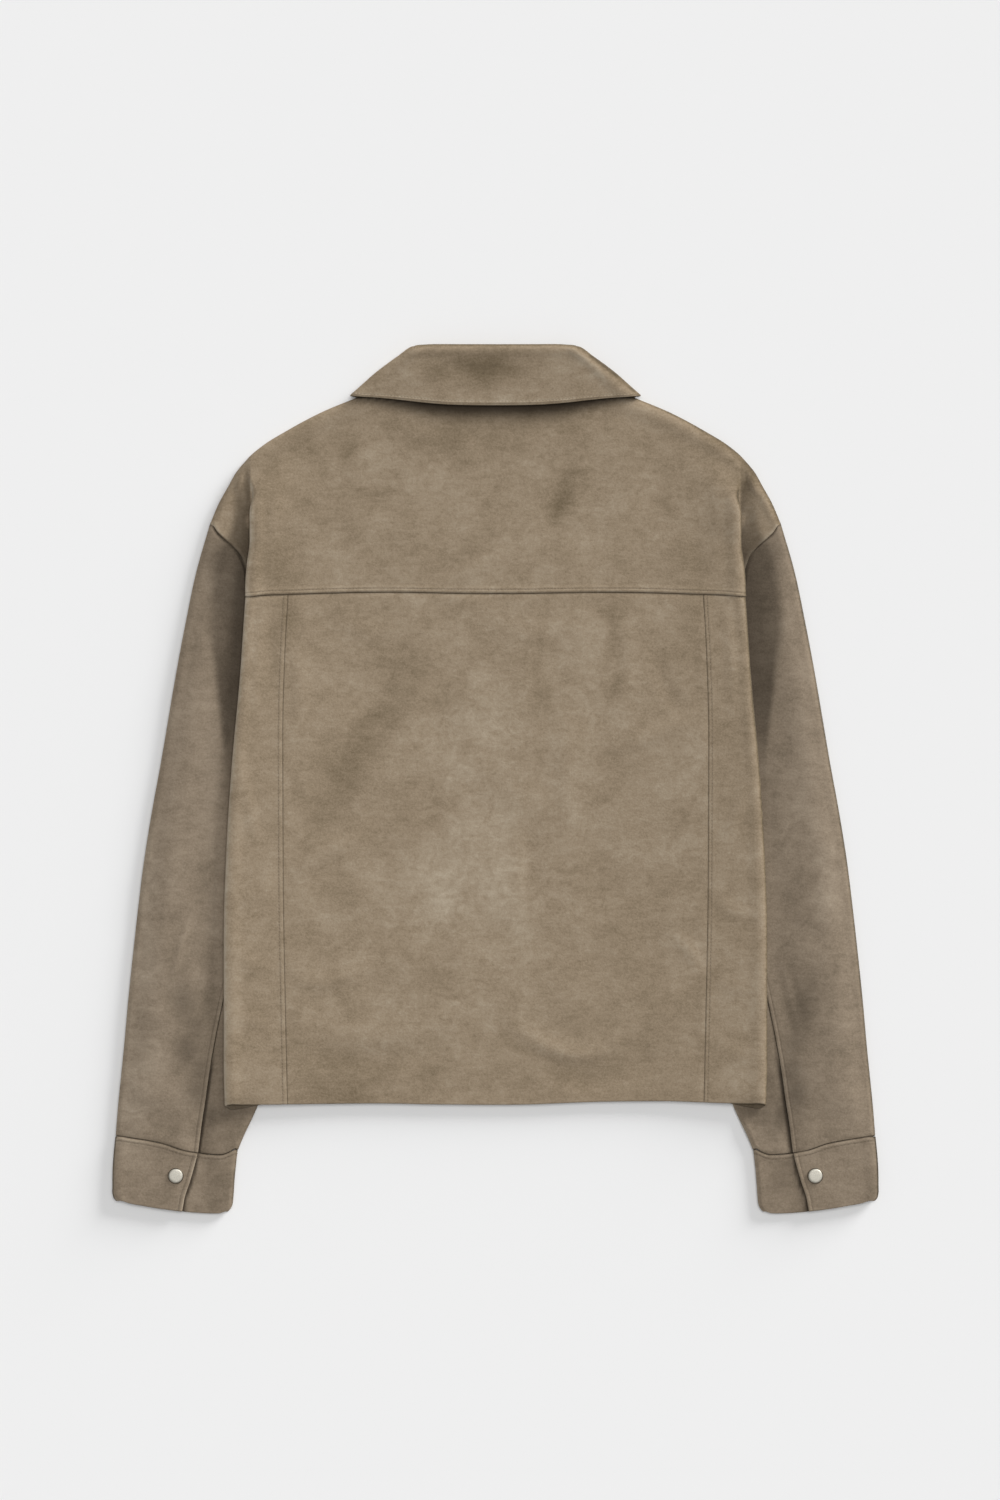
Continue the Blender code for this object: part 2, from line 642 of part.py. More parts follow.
# ---------------------------------------------------------------- cuffs
def cuff(side_name, side):
    """One band: it starts at the lapped end, goes round the outer fold and ends under its own start."""
    top_height, under_height = shoulder_height, 4.5
    across, along = np.linspace(0, 1, 25), np.array(cuff_rows, float)
    plan = patch(path(cuff_seam), path(cuff_end), path(cuff_outer), path(cuff_inner), across, along)
    lap_edge = np.array(cuff_lap)

    def at(share, height):
        points = column(plan, across, along, share)
        inset = np.clip((0.06 - np.broadcast_to(share, len(along))) / 0.06, 0, 1) * 4.0
        outset = np.clip((np.broadcast_to(share, len(along)) - 0.94) / 0.06, 0, 1) * 2.8
        points = points + np.stack([-inset + outset, 0 * inset], axis=-1)
        points[0, 1] = cuff_line(points[0, 0]) - seam_gap
        return raised(points, height)

    columns = [at(lap_edge * part, top_height) for part in (1, 0.8, 0.6, 0.4, 0.2, 0)]
    columns += roll(columns[-1], at(0, layer(0)), np.tile([1.0, 0.0], (len(along), 1)),
                    np.full(len(along), (top_height - layer(0)) / 2), 5)
    columns += [at(part, layer(0)) for part in (0, 0.25, 0.5, 0.7, 0.85, 0.94, 1)]
    columns += roll(columns[-1], at(1, under_height), np.tile([-1.0, 0.0], (len(along), 1)),
                    np.full(len(along), (under_height - layer(0)) / 2), 4)
    columns += [at(part, under_height) for part in (1, 0.94, 0.87, 0.79, 0.68, 0.57, 0.45)]
    cloth(f"cuff_{side_name}", mirrored(np.stack(columns, axis=1), side), sleeve_suede)
    low = top_height + wall / 2 + seam_gap
    cap_profile = [(rim_diameter / 2, low), (rim_diameter / 2, low + 0.5), (cap_diameter / 2, low + 0.7),
                   (cap_diameter / 2 - 0.4, low + 1.4), (cap_diameter / 2 - 1.8, low + 1.8)]
    turned(f"cuff_snap_{side_name}", cap_profile, (side * 303.8, -377.3, 0), nickel)


# ---------------------------------------------------------------- collar
def collar():
    """Stand and leaf in one cut, rolled at the top and wrapped round both sides of the neck."""
    leaf_rows, stand_rows = np.linspace(0, 1, 6), np.linspace(0, 1, 4)
    back_columns, front_columns = np.linspace(0, 1, 7), np.linspace(0, 1, 7)
    roll_inset, side_inset = 3.9, 5.0
    roll_back = [(0, collar_top - roll_inset), (58, collar_top - roll_inset), (78.5, 407.6)]
    stand_corner, neck_corner = (74.5, 404.2), (91, 381.5)
    side_line = [roll_back[-1]]
    side_line += [(x - side_inset * u, y - side_inset * v) for (x, y), (u, v) in zip(leaf_side, leaf_facing)]
    front_edge = [(12, 345), (36, 314), (62, 284)]
    roll_line = [roll_back[-1], (50, 386), (30, 364), (12, 345)]
    edge_line = leaf_free + [side_line[-1]]
    point_line = [side_line[-1], (116, 332), (90, 304), (62, 284)]
    centre = path([roll_back[0], leaf_free[0]])
    leaf_back = patch(path(roll_back), path(edge_line), centre, path(side_line), back_columns, leaf_rows)
    leaf_front = patch(path(roll_line), path(point_line), path(side_line), path(front_edge),
                       front_columns, leaf_rows)
    neck_line = path([(0, 378), (50, 379), neck_corner])
    stand_side = path([stand_corner, neck_corner])
    stand_top = path([(0, collar_top - roll_inset), (55, collar_top - roll_inset), stand_corner])
    stand_back = patch(stand_top, neck_line, path([(0, collar_top - roll_inset), (0, 378)]), stand_side,
                       back_columns, stand_rows)
    stand_roll = path([stand_corner, (48, 384), (29, 362), (12, 343)])
    neck_low = path([neck_corner, (93, 355), (75, 330.5), (48, 311), (12, 303.5)])
    stand_front = patch(stand_roll, neck_low, stand_side, path([(12, 343), (12, 303)]),
                        front_columns, stand_rows)
    leaf_height = leaf_edge + (collar_roll - leaf_edge) * (1 - leaf_rows) ** 1.5
    stand_height = (collar_roll - 5.9) + (shoulder_height - collar_roll + 5.9) * stand_rows
    columns = []
    for k in range(len(front_columns) - 1, -1, -1):
        columns.append((raised(leaf_front[:, k], layer(0)), raised(stand_front[:, k], layer(1))))
    leaf_low, leaf_high = columns[-1][0], raised(leaf_back[:, -1], leaf_height)
    stand_low, stand_high = columns[-1][1], raised(stand_back[:, -1], stand_height)
    leaf_push = np.array([leaf_facing[0]] * 4 + leaf_facing[2:])
    stand_push = np.tile(leaf_facing[0], (len(stand_rows), 1))
    leaf_turn = roll(leaf_low, leaf_high, leaf_push, np.array(leaf_swell), 5)
    stand_turn = roll(stand_low, stand_high, stand_push, np.full(len(stand_rows), stand_swell), 5)
    columns += list(zip(leaf_turn, stand_turn))
    for k in range(len(back_columns) - 1, -1, -1):
        columns.append((raised(leaf_back[:, k], leaf_height), raised(stand_back[:, k], stand_height)))
    turn_steps = len(leaf_turn)
    pushes = [np.array([-0.64, 0.77])] * (len(front_columns) + turn_steps) + [np.array([-0.25, 0.97])]
    pushes += [np.array([0.0, 1.0])] * (len(back_columns) - 1)
    middle_turn = len(front_columns) + turn_steps // 2
    grid = []
    for k, ((leaf, stand), push) in enumerate(zip(columns, pushes)):
        fullness = 0.5 - 0.17 * math.exp(-((k - middle_turn) / 1.8) ** 2)
        half = np.linalg.norm(leaf[0] - stand[0]) * fullness
        bend = roll(leaf[:1], stand[:1], push[None], np.array([half]), 4)
        grid.append(np.concatenate([leaf[::-1], *bend, stand]))
    half_grid = np.array(grid)
    full = np.concatenate([mirrored(half_grid, -1), half_grid[-2::-1]])
    cloth("collar", full, suede)


back_centre()
yoke()
for word, sign in (("left", -1), ("right", 1)):
    back_side(f"back_side_{word}", sign)
    front_panel = front(f"front_{word}", sign)
    if word == "left":
        press_in_snaps(front_panel)
    sleeve(word, sign)
    cuff(word, sign)
collar()
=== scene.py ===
import math

import bmesh
import bpy
import numpy as np
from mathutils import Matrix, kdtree


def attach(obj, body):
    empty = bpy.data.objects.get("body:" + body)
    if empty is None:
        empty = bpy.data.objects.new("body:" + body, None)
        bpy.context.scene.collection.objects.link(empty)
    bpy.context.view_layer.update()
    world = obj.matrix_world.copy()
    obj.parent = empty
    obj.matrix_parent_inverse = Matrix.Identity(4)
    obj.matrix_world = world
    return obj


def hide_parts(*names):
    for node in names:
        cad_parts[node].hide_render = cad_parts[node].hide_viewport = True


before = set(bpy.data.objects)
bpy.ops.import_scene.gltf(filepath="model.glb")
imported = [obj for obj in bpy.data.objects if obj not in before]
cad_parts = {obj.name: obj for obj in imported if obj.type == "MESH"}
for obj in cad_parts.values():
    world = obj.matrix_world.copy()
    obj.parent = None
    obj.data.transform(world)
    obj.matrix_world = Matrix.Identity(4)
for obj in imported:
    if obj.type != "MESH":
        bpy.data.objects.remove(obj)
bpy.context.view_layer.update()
print("frame loaded:", len(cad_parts), "nodes")

metre = 0.001                     # all sizes below are in millimetres


# camera
cameraLook = {
    "over": (4.3, 27.3),          # point of the jacket that the lens stands over
    "frameHeight": 1425.0,        # how much the tall side of the frame takes in
    "clothTop": 8.0,
    "distance": 5200.0,           # lens to the top of the cloth
    "sensor": 36.0,
}


def makeCamera(look):
    lens = bpy.data.cameras.new("overheadCamera")
    lens.sensor_width = look["sensor"]
    lens.lens = look["sensor"] * look["distance"] / look["frameHeight"]
    lens.clip_end = 50.0
    camera = bpy.data.objects.new("overheadCamera", lens)
    camera.location = (look["over"][0] * metre, look["over"][1] * metre,
                       (look["clothTop"] + look["distance"]) * metre)
    bpy.context.scene.collection.objects.link(camera)
    bpy.context.scene.camera = camera


makeCamera(cameraLook)


# materials
def linear(hexColour):
    # sRGB hex to the linear colour that a shader takes
    parts = [int(hexColour[i:i + 2], 16) / 255 for i in (1, 3, 5)]
    return tuple(p / 12.92 if p <= 0.04045 else ((p + 0.055) / 1.055) ** 2.4 for p in parts) + (1.0,)


def perMetre(size):
    # noise scale whose blotches are about this many millimetres across
    return 1.0 / (size * metre)


def addNode(tree, kind, sockets=None, **settings):
    # one node, its settings, and its inputs: a value, or (node, output) to link from
    made = tree.nodes.new(kind)
    for key, value in settings.items():
        setattr(made, key, value)
    for key, value in (sockets or {}).items():
        if isinstance(value, tuple) and isinstance(value[0], bpy.types.Node):
            tree.links.new(value[0].outputs[value[1]], made.inputs[key])
        else:
            made.inputs[key].default_value = value
    return made


def blankMaterial(name):
    made = bpy.data.materials.new(name)
    made.use_nodes = True
    tree = made.node_tree
    tree.nodes.clear()
    out = addNode(tree, "ShaderNodeOutputMaterial")
    return made, tree, out


suedeLook = {
    "body": ("#504638", "#726450", "#91816C", "#A69884", "#B7AA97"),    # nap from shade to light
    "sleeve": ("#494239", "#675C4D", "#857766", "#998B79", "#AB9E8D"),
    "paintedShade": "#221B15",            # painted shade: the dark that cloth is mixed toward between two layers, in valleys, folds and seams, and under the collar's edge
    "cloud": 46.0,                # hand-sized patches where the nap lies another way
    "smudge": 15.0,               # finger marks in it
    "stroke": (16.0, 5.0),        # short brush strokes, long and narrow
    "fibre": 2.1,                 # fibre tufts; real ones are 0.3 mm, drawn coarser so that they show
    "cloudShare": 0.62,
    "smudgeShare": 0.62,
    "strokeShare": 0.50,
    "fibreShare": 0.95,
    "fibreHeight": 0.20,
    "smudgeRange": (0.36, 0.64),  # what that noise mostly spans
    "broken": (0.75, 1.25),       # how unevenly a brushed mark shows across its own area
    "strokeTurn": -72,            # degrees
    "bumpStrength": 0.8,
}


def makeSuede(name, tones):
    # Microfibre suede, knitted and then sanded: a short nap that throws no highlight, goes darker
    # or lighter with the way it was last brushed, and is a little paler at grazing angles.
    # Its colour also carries painted light and shade, held in the nap and shade attributes.
    made, tree, out = blankMaterial(name)
    place = addNode(tree, "ShaderNodeTexCoord")
    spot = (place, "Object")
    stretched = addNode(tree, "ShaderNodeMapping", {"Vector": spot,
                        "Rotation": (0.0, 0.0, math.radians(suedeLook["strokeTurn"])),
                        "Scale": (perMetre(suedeLook["stroke"][0]), perMetre(suedeLook["stroke"][1]),
                                  perMetre(suedeLook["stroke"][0]))})
    cloud = addNode(tree, "ShaderNodeTexNoise", {"Vector": spot, "Scale": perMetre(suedeLook["cloud"]),
                    "Detail": 3.0, "Roughness": 0.55, "Distortion": 0.7})
    smudge = addNode(tree, "ShaderNodeTexNoise", {"Vector": spot, "Scale": perMetre(suedeLook["smudge"]),
                     "Detail": 4.0, "Roughness": 0.6, "Distortion": 1.1})
    stroke = addNode(tree, "ShaderNodeTexNoise", {"Vector": (stretched, "Vector"), "Scale": 1.0,
                     "Detail": 3.0, "Roughness": 0.6, "Distortion": 0.5})
    fibre = addNode(tree, "ShaderNodeTexNoise", {"Vector": spot, "Scale": perMetre(suedeLook["fibre"]),
                    "Detail": 3.0, "Roughness": 0.75})
    # the nap attribute: marks and waves in the nap, with painted light and shade along folds and creases
    nap = addNode(tree, "ShaderNodeAttribute", attribute_name="nap")
    broken = addNode(tree, "ShaderNodeMapRange", {"Value": (smudge, "Fac"),
                     "From Min": suedeLook["smudgeRange"][0], "From Max": suedeLook["smudgeRange"][1],
                     "To Min": suedeLook["broken"][0], "To Max": suedeLook["broken"][1]})
    total = (addNode(tree, "ShaderNodeMath", {0: (nap, "Fac"), 1: (broken, "Result")},
                     operation="MULTIPLY"), "Value")
    for source, share in ((cloud, "cloudShare"), (smudge, "smudgeShare"), (stroke, "strokeShare"),
                          (fibre, "fibreShare")):
        centred = addNode(tree, "ShaderNodeMath", {0: (source, "Fac"), 1: suedeLook[share],
                          2: -0.5 * suedeLook[share]}, operation="MULTIPLY_ADD")
        total = (addNode(tree, "ShaderNodeMath", {0: total, 1: (centred, "Value")}, operation="ADD"), "Value")
    level = addNode(tree, "ShaderNodeMath", {0: total, 1: 0.5, 2: 0.5}, operation="MULTIPLY_ADD")
    ramp = addNode(tree, "ShaderNodeValToRGB", {"Fac": (level, "Value")})
    stops = ramp.color_ramp.elements
    stops[0].color, stops[1].color = linear(tones[0]), linear(tones[-1])
    for k, place in ((1, 0.25), (2, 0.5), (3, 0.75)):
        stops.new(place).color = linear(tones[k])
    # painted shade: the shade attribute mixes the nap toward the painted shade colour
    paintedShade = addNode(tree, "ShaderNodeAttribute", attribute_name="shade")
    tone = addNode(tree, "ShaderNodeMix", {0: (paintedShade, "Fac"), 6: (ramp, "Color"),
                   7: linear(suedeLook["paintedShade"])}, data_type="RGBA")
    bumpHeight = addNode(tree, "ShaderNodeMath", {0: (fibre, "Fac"), 1: (stroke, "Fac")}, operation="ADD")
    bump = addNode(tree, "ShaderNodeBump", {"Height": (bumpHeight, "Value"),
                   "Strength": suedeLook["bumpStrength"], "Distance": suedeLook["fibreHeight"] * metre})
    shader = addNode(tree, "ShaderNodeBsdfPrincipled", {"Base Color": (tone, "Result"),
                     "Normal": (bump, "Normal"), "Roughness": 0.96, "Specular IOR Level": 0.12,
                     "Sheen Weight": 0.22, "Sheen Roughness": 0.45, "Sheen Tint": linear("#C9B99C")})
    tree.links.new(shader.outputs["BSDF"], out.inputs["Surface"])
    return made


def makeThread(name, colour):
    # Spun polyester thread, twisted in two plies: a soft lustre that is a shade apart from the nap.
    made, tree, out = blankMaterial(name)
    place = addNode(tree, "ShaderNodeTexCoord")
    twist = addNode(tree, "ShaderNodeTexWave", {"Vector": (place, "Object"), "Scale": perMetre(0.8),
                    "Distortion": 0.6}, wave_type="BANDS", bands_direction="DIAGONAL")
    plies = addNode(tree, "ShaderNodeMix", {0: (twist, "Fac"), 6: linear(colour[0]), 7: linear(colour[1])},
                    data_type="RGBA")
    shader = addNode(tree, "ShaderNodeBsdfPrincipled", {"Base Color": (plies, "Result"), "Roughness": 0.6,
                     "Specular IOR Level": 0.35, "Sheen Weight": 0.15})
    tree.links.new(shader.outputs["BSDF"], out.inputs["Surface"])
    return made


def makeNickel(name, colours, roughness, grain):
    # Nickel-plated brass, pressed and then tumbled: a pale satin face with faint fine pits.
    made, tree, out = blankMaterial(name)
    place = addNode(tree, "ShaderNodeTexCoord")
    pits = addNode(tree, "ShaderNodeTexNoise", {"Vector": (place, "Object"), "Scale": perMetre(grain),
                   "Detail": 3.0, "Roughness": 0.6})
    tint = addNode(tree, "ShaderNodeMix", {0: (pits, "Fac"), 6: linear(colours[0]), 7: linear(colours[1])},
                   data_type="RGBA")
    gloss = addNode(tree, "ShaderNodeMapRange", {"Value": (pits, "Fac"), "From Min": 0.3, "From Max": 0.7,
                    "To Min": roughness - 0.07, "To Max": roughness + 0.07})
    bump = addNode(tree, "ShaderNodeBump", {"Height": (pits, "Fac"), "Strength": 0.5,
                   "Distance": 0.06 * metre})
    shader = addNode(tree, "ShaderNodeBsdfPrincipled", {"Base Color": (tint, "Result"), "Metallic": 1.0,
                     "Roughness": (gloss, "Result"), "Normal": (bump, "Normal")})
    tree.links.new(shader.outputs["BSDF"], out.inputs["Surface"])
    return made


def makePaper(name, colour):
    # Matt background paper: an even pale grey with a barely visible tooth.
    made, tree, out = blankMaterial(name)
    place = addNode(tree, "ShaderNodeTexCoord")
    tooth = addNode(tree, "ShaderNodeTexNoise", {"Vector": (place, "Object"), "Scale": perMetre(3.0),
                    "Detail": 2.0})
    bump = addNode(tree, "ShaderNodeBump", {"Height": (tooth, "Fac"), "Strength": 0.04,
                   "Distance": 0.05 * metre})
    shader = addNode(tree, "ShaderNodeBsdfPrincipled", {"Base Color": linear(colour), "Roughness": 1.0,
                     "Specular IOR Level": 0.0, "Normal": (bump, "Normal")})
    tree.links.new(shader.outputs["BSDF"], out.inputs["Surface"])
    return made


bodySuede = makeSuede("microfibreSuedeBody", suedeLook["body"])
sleeveSuede = makeSuede("microfibreSuedeSleeve", suedeLook["sleeve"])
spunThread = makeThread("spunPolyesterThread", ("#6C5D49", "#7F705B"))
satinNickel = makeNickel("tumbledNickel", ("#D2CEC3", "#AFABA0"), 0.62, 0.9)
darkNickel = makeNickel("oxidisedNickelRim", ("#5A5348", "#463F36"), 0.5, 0.7)
print("materials made")


# studio
studioLook = {
    "paper": "#EFEFEF",
    "paperSize": 30.0,            # metres
    "sky": 0.26,                  # even light from all round
    "overhead": 0.46,             # high, fairly broad
    "overheadTurn": (12, 60),     # tilt from straight down, and the side it comes from, degrees
    "overheadSpread": 36.0,
    "key": 0.28,                  # low and broad, from the upper right
    "keyTurn": (79, 44),
    "keySpread": 26.0,
}


def makeSun(name, share, turn, spread):
    lamp = bpy.data.lights.new(name, "SUN")
    lamp.angle = math.radians(spread)
    tilt, side = math.radians(turn[0]), math.radians(turn[1])
    lamp.energy = share * math.pi / math.cos(tilt)   # share of the light that falls on level paper
    placed = bpy.data.objects.new(name, lamp)
    placed.rotation_euler = (tilt, 0.0, math.radians(90) + side)
    placed.location = (2.0 * math.cos(side), 2.0 * math.sin(side), 3.0)
    bpy.context.scene.collection.objects.link(placed)


def makeStudio(look):
    world = bpy.data.worlds.new("softRoom")
    world.use_nodes = True
    world.node_tree.nodes["Background"].inputs["Color"].default_value = (1.0, 1.0, 1.0, 1.0)
    world.node_tree.nodes["Background"].inputs["Strength"].default_value = look["sky"]
    bpy.context.scene.world = world
    bpy.context.scene.view_settings.view_transform = "Standard"
    makeSun("overheadPanel", look["overhead"], look["overheadTurn"], look["overheadSpread"])
    makeSun("keyPanel", look["key"], look["keyTurn"], look["keySpread"])
    half = look["paperSize"] / 2
    mesh = bpy.data.meshes.new("paper")
    mesh.from_pydata([(-half, -half, 0), (half, -half, 0), (half, half, 0), (-half, half, 0)], [],
                     [(0, 1, 2, 3)])
    mesh.materials.append(makePaper("mattPaper", look["paper"]))
    paper = bpy.data.objects.new("paper", mesh)
    paper.location.z = -0.2 * metre
    bpy.context.scene.collection.objects.link(paper)


makeStudio(studioLook)
print("studio lit")


# sizes of the jacket
cutSizes = {
    "layerStep": 2.4,             # one layer of the solids and its clearance
    "firstLayer": 1.0,            # middle of the layer on the floor
    "seamGap": 0.3,               # between two cuts at a straight seam
    "edgeGap": 0.9,               # and at a curved one
    "collarTop": 413.0,
    "yokeSeam": 175.7,
    "hemLine": -310.0,
    "centreOverlap": 18.0,        # how far each front runs past the middle
    "backBase": 6.4,              # height of the back along its middle
    "shoulderHeight": 6.9,
    "pressed": 2.4,               # height of the sleeve's upper layer over its lower one
    "puffed": 5.9,                # the same where it lies free
    "collarRoll": 15.2,           # heights of the collar's leaf at its roll and at its free edge
    "leafEdge": 11.2,
    "leafSwell": (2.6, 3.4, 4.0, 4.0, 4.0, 4.0),   # how far the leaf's side fold stands out, row by row
    "standSwell": 2.4,
    "pleatDepth": 29.0,           # how far the pleat runs back under the yoke
    "pleatBends": 4,              # steps in each of its folds
    "hemLip": 2.5,                # how much of the turned-under side shows below the hem
    "neckShare": 0.375,           # share of the yoke's top edge that is neck
    "sleeveWidth": 120.0,
    "frontSeamShare": 0.78,       # place of the sleeve's hidden seam across its lower layer
    "halfWall": 1.0,
}
gap, edgeGap = cutSizes["seamGap"], cutSizes["edgeGap"]
yokeSeam, hemLine = cutSizes["yokeSeam"], cutSizes["hemLine"]
bothSides = (("left", -1), ("right", 1))


def sizeTable(columns, *rows):
    return {name: [row[i] for row in rows] for i, name in enumerate(columns.split())}


# side fold of the body, with the height of the back at the fold and how far in it falls
sideFold = sizeTable(
    "y      x      height  reach",
    (305,   233,   6.9,    60),
    (236,   233,   9.8,    90),
    (174,   238,   9.8,    115),
    (100,   243,   11.0,   150),
    (12,    251,   11.7,   195),
    (-68,   256,   11.7,   190),
    (-144,  258.4, 11.7,   180),
    (-277,  258.4, 11.4,   165),
    (-313,  257.4, 11.0,   155))

# edge where the turned-under back meets the front
turnedEdge = sizeTable(
    "y      x      rise",
    (241,   272.2, 0.0),
    (219,   252,   0.0),
    (190,   228,   0.0),
    (163,   208,   0.0),
    (120,   194,   2.4),
    (60,    180,   2.4),
    (12,    172,   4.8),
    (-60,   176,   4.8),
    (-130,  183,   4.8),
    (-210,  190,   4.8),
    (-313,  205,   4.8))

backSeam = sizeTable(
    "y      x",
    (175,   197),
    (122,   200),
    (46,    202),
    (-105,  201.5),
    (-220,  199.5),
    (-313,  197.5))

sleeveOuter = sizeTable(
    "y      x",
    (241,   272.2),
    (198,   284.5),
    (141,   296.4),
    (84,    306.9),
    (27,    316.4),
    (-30,   326.8),
    (-87,   335.8),
    (-144,  342.5),
    (-201,  348.7),
    (-258,  353.9),
    (-315,  359.6),
    (-339,  361.5))

sleeveInner = sizeTable(
    "y      x",
    (12,    172.0),
    (-60,   180.0),
    (-130,  189.0),
    (-210,  202.0),
    (-280,  217.0),
    (-315,  227.5),
    (-329,  235.0),
    (-351,  244.6))

armholeSeen = sizeTable(
    "y      x",
    (241,   272.2),
    (226,   257),
    (212,   243),
    (195,   237.5),
    (183,   236))

# outlines in plan, left half mirrored from the right
shoulderLine = [(95, 378), (141, 358.5), (150, 354.6), (160, 350.9), (187, 337.4), (225, 314.3), (236, 304.5)]
shoulderEnd = [(236, 304.5), (247, 291.4), (258.9, 269.6), (267, 255.3), (272.2, 241)]
shoulderSeam = [(97, 352), (150, 326), (190, 303), (222, 274), (236, 250), (252, 222)]
armholeBack = [(272.2, 241), (257, 226), (243, 212), (237.5, 195), (236, 181), (225, 172), (208, 163),
               (192, 112), (172, 12)]
armholeFront = [(272.2, 241), (252, 219), (228, 190), (208, 163), (192, 112), (172, 12)]
neckBack = [(0, 376), (50, 377), (95, 378)]
neckFront = [(95, 378), (97, 352), (80, 326), (50, 307), (10, 300)]
cuffSeam = [(361.5, -339), (318.7, -346.0), (290.2, -354.6), (261.7, -357.4), (244.6, -351)]
cuffOuter = [(361.5, -339), (364.2, -372), (364.4, -393), (363.6, -398), (360.6, -401)]
cuffInner = [(244.6, -351), (247.5, -380), (249.1, -401), (250.4, -407.4), (254.4, -411.3)]
cuffEnd = [(360.6, -401), (345.3, -404.0), (311.1, -409.7), (276.9, -413.0), (264, -413.3), (254.4, -411.3)]
cuffRows = [0, 0.25, 0.5, 0.75, 0.88, 0.95, 1]
cuffLap = [0.671, 0.6535, 0.6305, 0.597, 0.591, 0.5915, 0.592]
leafSide = [(98.8, 397.8), (118.3, 382.6), (129.2, 372.8), (138.9, 363.8)]
leafFacing = [(0.63, 0.77), (0.63, 0.77), (0.66, 0.75), (0.98, 0.10)]
leafEdge = [(0, 354.5), (29, 354.7), (52, 355.7), (75, 357.9), (97, 360.4), (118, 362.3)]
yokeWave = [(0, 0), (40, 0.2), (75, 0.9), (105, 1.2), (150, 0.6), (181, -0.6), (212, -1.4), (226, -2.2),
            (236, -3.2), (262, -3.8)]
hemWave = [(-260, -0.8), (-209, -0.5), (-165, 0.2), (-105, 0.9), (-50, 0.2), (20, 0.2), (75, 1.8), (115, 2.8),
           (170, 2.8), (208, 1.1), (260, 0)]
sleeveSeam = [(0, 0.66), (0.55, 0.605), (0.671, 0.587), (0.761, 0.582), (0.833, 0.5865), (0.9, 0.6104),
              (0.95, 0.644), (1, 0.676)]


# curves
def ease(x):
    x = np.clip(x, 0.0, 1.0)
    return x * x * (3.0 - 2.0 * x)


def hump(x):
    # 1 in the middle, softly down to nothing
    return np.exp(-np.square(x))


def through(knots, values, at):
    # curve through the values that never overshoots them
    steps = np.diff(knots)
    slopes = np.diff(values) / steps
    tangents = np.zeros(len(knots))
    tangents[0], tangents[-1] = slopes[0], slopes[-1]
    for i in range(1, len(knots) - 1):
        if slopes[i - 1] * slopes[i] > 0:
            before = 2 * steps[i] + steps[i - 1]
            after = steps[i] + 2 * steps[i - 1]
            tangents[i] = (before + after) / (before / slopes[i - 1] + after / slopes[i])
    at = np.clip(np.asarray(at, float), knots[0], knots[-1])
    i = np.clip(np.searchsorted(knots, at) - 1, 0, len(knots) - 2)
    t = (at - knots[i]) / steps[i]
    rise = t * t * (3 - 2 * t)
    return (values[i] * (1 - rise) + values[i + 1] * rise
            + steps[i] * (tangents[i] * t * (1 - t) ** 2 - tangents[i + 1] * t * t * (1 - t)))


def read(rows, column, y):
    # one column of a size table, read smoothly at heights y
    return through(np.array(rows["y"][::-1], float), np.array(rows[column][::-1], float), y)


def planPath(points):
    # plan curve through the points, read by its share of length
    points = np.array(points, float)
    knots = np.concatenate([[0.0], np.cumsum(np.linalg.norm(np.diff(points, axis=0), axis=1))])
    knots /= knots[-1]

    def at(share):
        share = np.asarray(share, float)
        return np.stack([through(knots, points[:, 0], share), through(knots, points[:, 1], share)], axis=-1)
    return at


def downTable(rows, top, bottom):
    # the outline in a size table as a plan curve from one height down to another
    def at(share):
        y = top + (bottom - top) * np.asarray(share, float)
        return np.stack([read(rows, "x", y), y], axis=-1)
    return at


def fourEdges(first, last, left, right, across, along):
    # plan points spanned between four edges, each given as a plan curve or as its points
    first, last, left, right = (edge if callable(edge) else planPath(edge)
                                for edge in (first, last, left, right))
    s = np.asarray(across, float)[None, :, None]
    t = np.asarray(along, float)[:, None, None]
    a, b = first(across)[None], last(across)[None]
    c, d = left(along)[:, None], right(along)[:, None]
    corners = ((1 - s) * (1 - t) * a[:, :1] + s * (1 - t) * a[:, -1:]
               + (1 - s) * t * b[:, :1] + s * t * b[:, -1:])
    return (1 - t) * a + t * b + (1 - s) * c + s * d - corners


def outward(edge):
    # unit normals to the right of a plan line
    run = np.gradient(edge, axis=0)
    normal = np.stack([run[:, 1], -run[:, 0]], axis=-1)
    return normal / np.linalg.norm(normal, axis=1)[:, None]


def rollOver(low, high, push, swell, steps):
    # rows of a rounded fold from the low edge round to the high one
    angles = np.linspace(0, math.pi, steps + 2)[1:-1]
    middle, half = (low + high) / 2, (low - high) / 2
    bulge = np.concatenate([push, np.zeros((len(push), 1))], axis=1) * np.asarray(swell)[:, None]
    return [middle + half * math.cos(angle) + bulge * math.sin(angle) for angle in angles]


def raised(plan, height):
    return np.concatenate([plan, np.broadcast_to(height, plan.shape[:-1])[..., None]], axis=-1)


def mirrored(grid, side):
    return grid * np.array([side, 1.0, 1.0])


# heights of the layers: where each change begins and over how much it happens
heightSizes = {
    "sleeveFree": (3, 36),        # beyond the body's fold
    "sleeveBelowHem": (6, 26),
    "shoulder": (238, 62),
    "sleeveRim": (0.25, 24),      # how much thinner the sleeve is at its outer fold, and how far in
    "cuff": (-318, 24),
    "cuffInner": (296, 14),
    "cuffSpread": 3.5,
    "collarOut": (18, 10),        # where the collar's front points lift what lies on them
    "collarIn": (180, 24),
    "collarUp": (236, 26),
    "edgeRise": 48,               # over this width the fronts climb to the edge that they meet
    "lapRise": (2.6, 68, 32),     # how high the right front climbs over the left one, and where
}


def layer(number):
    # height of the middle of one layer
    return cutSizes["firstLayer"] + number * cutSizes["layerStep"]


def grown(at, key):
    start, run = heightSizes[key]
    return ease((at - start) / run)


def shrunk(at, key):
    start, run = heightSizes[key]
    return ease((start - at) / run)


def backHeight(x, y):
    # the back rises toward its side fold
    inside = np.clip(read(sideFold, "x", y) - x, 0, None)
    fall = np.clip(1 - inside / read(sideFold, "reach", y), 0, 1) ** 2
    return cutSizes["backBase"] + (read(sideFold, "height", y) - cutSizes["backBase"]) * fall


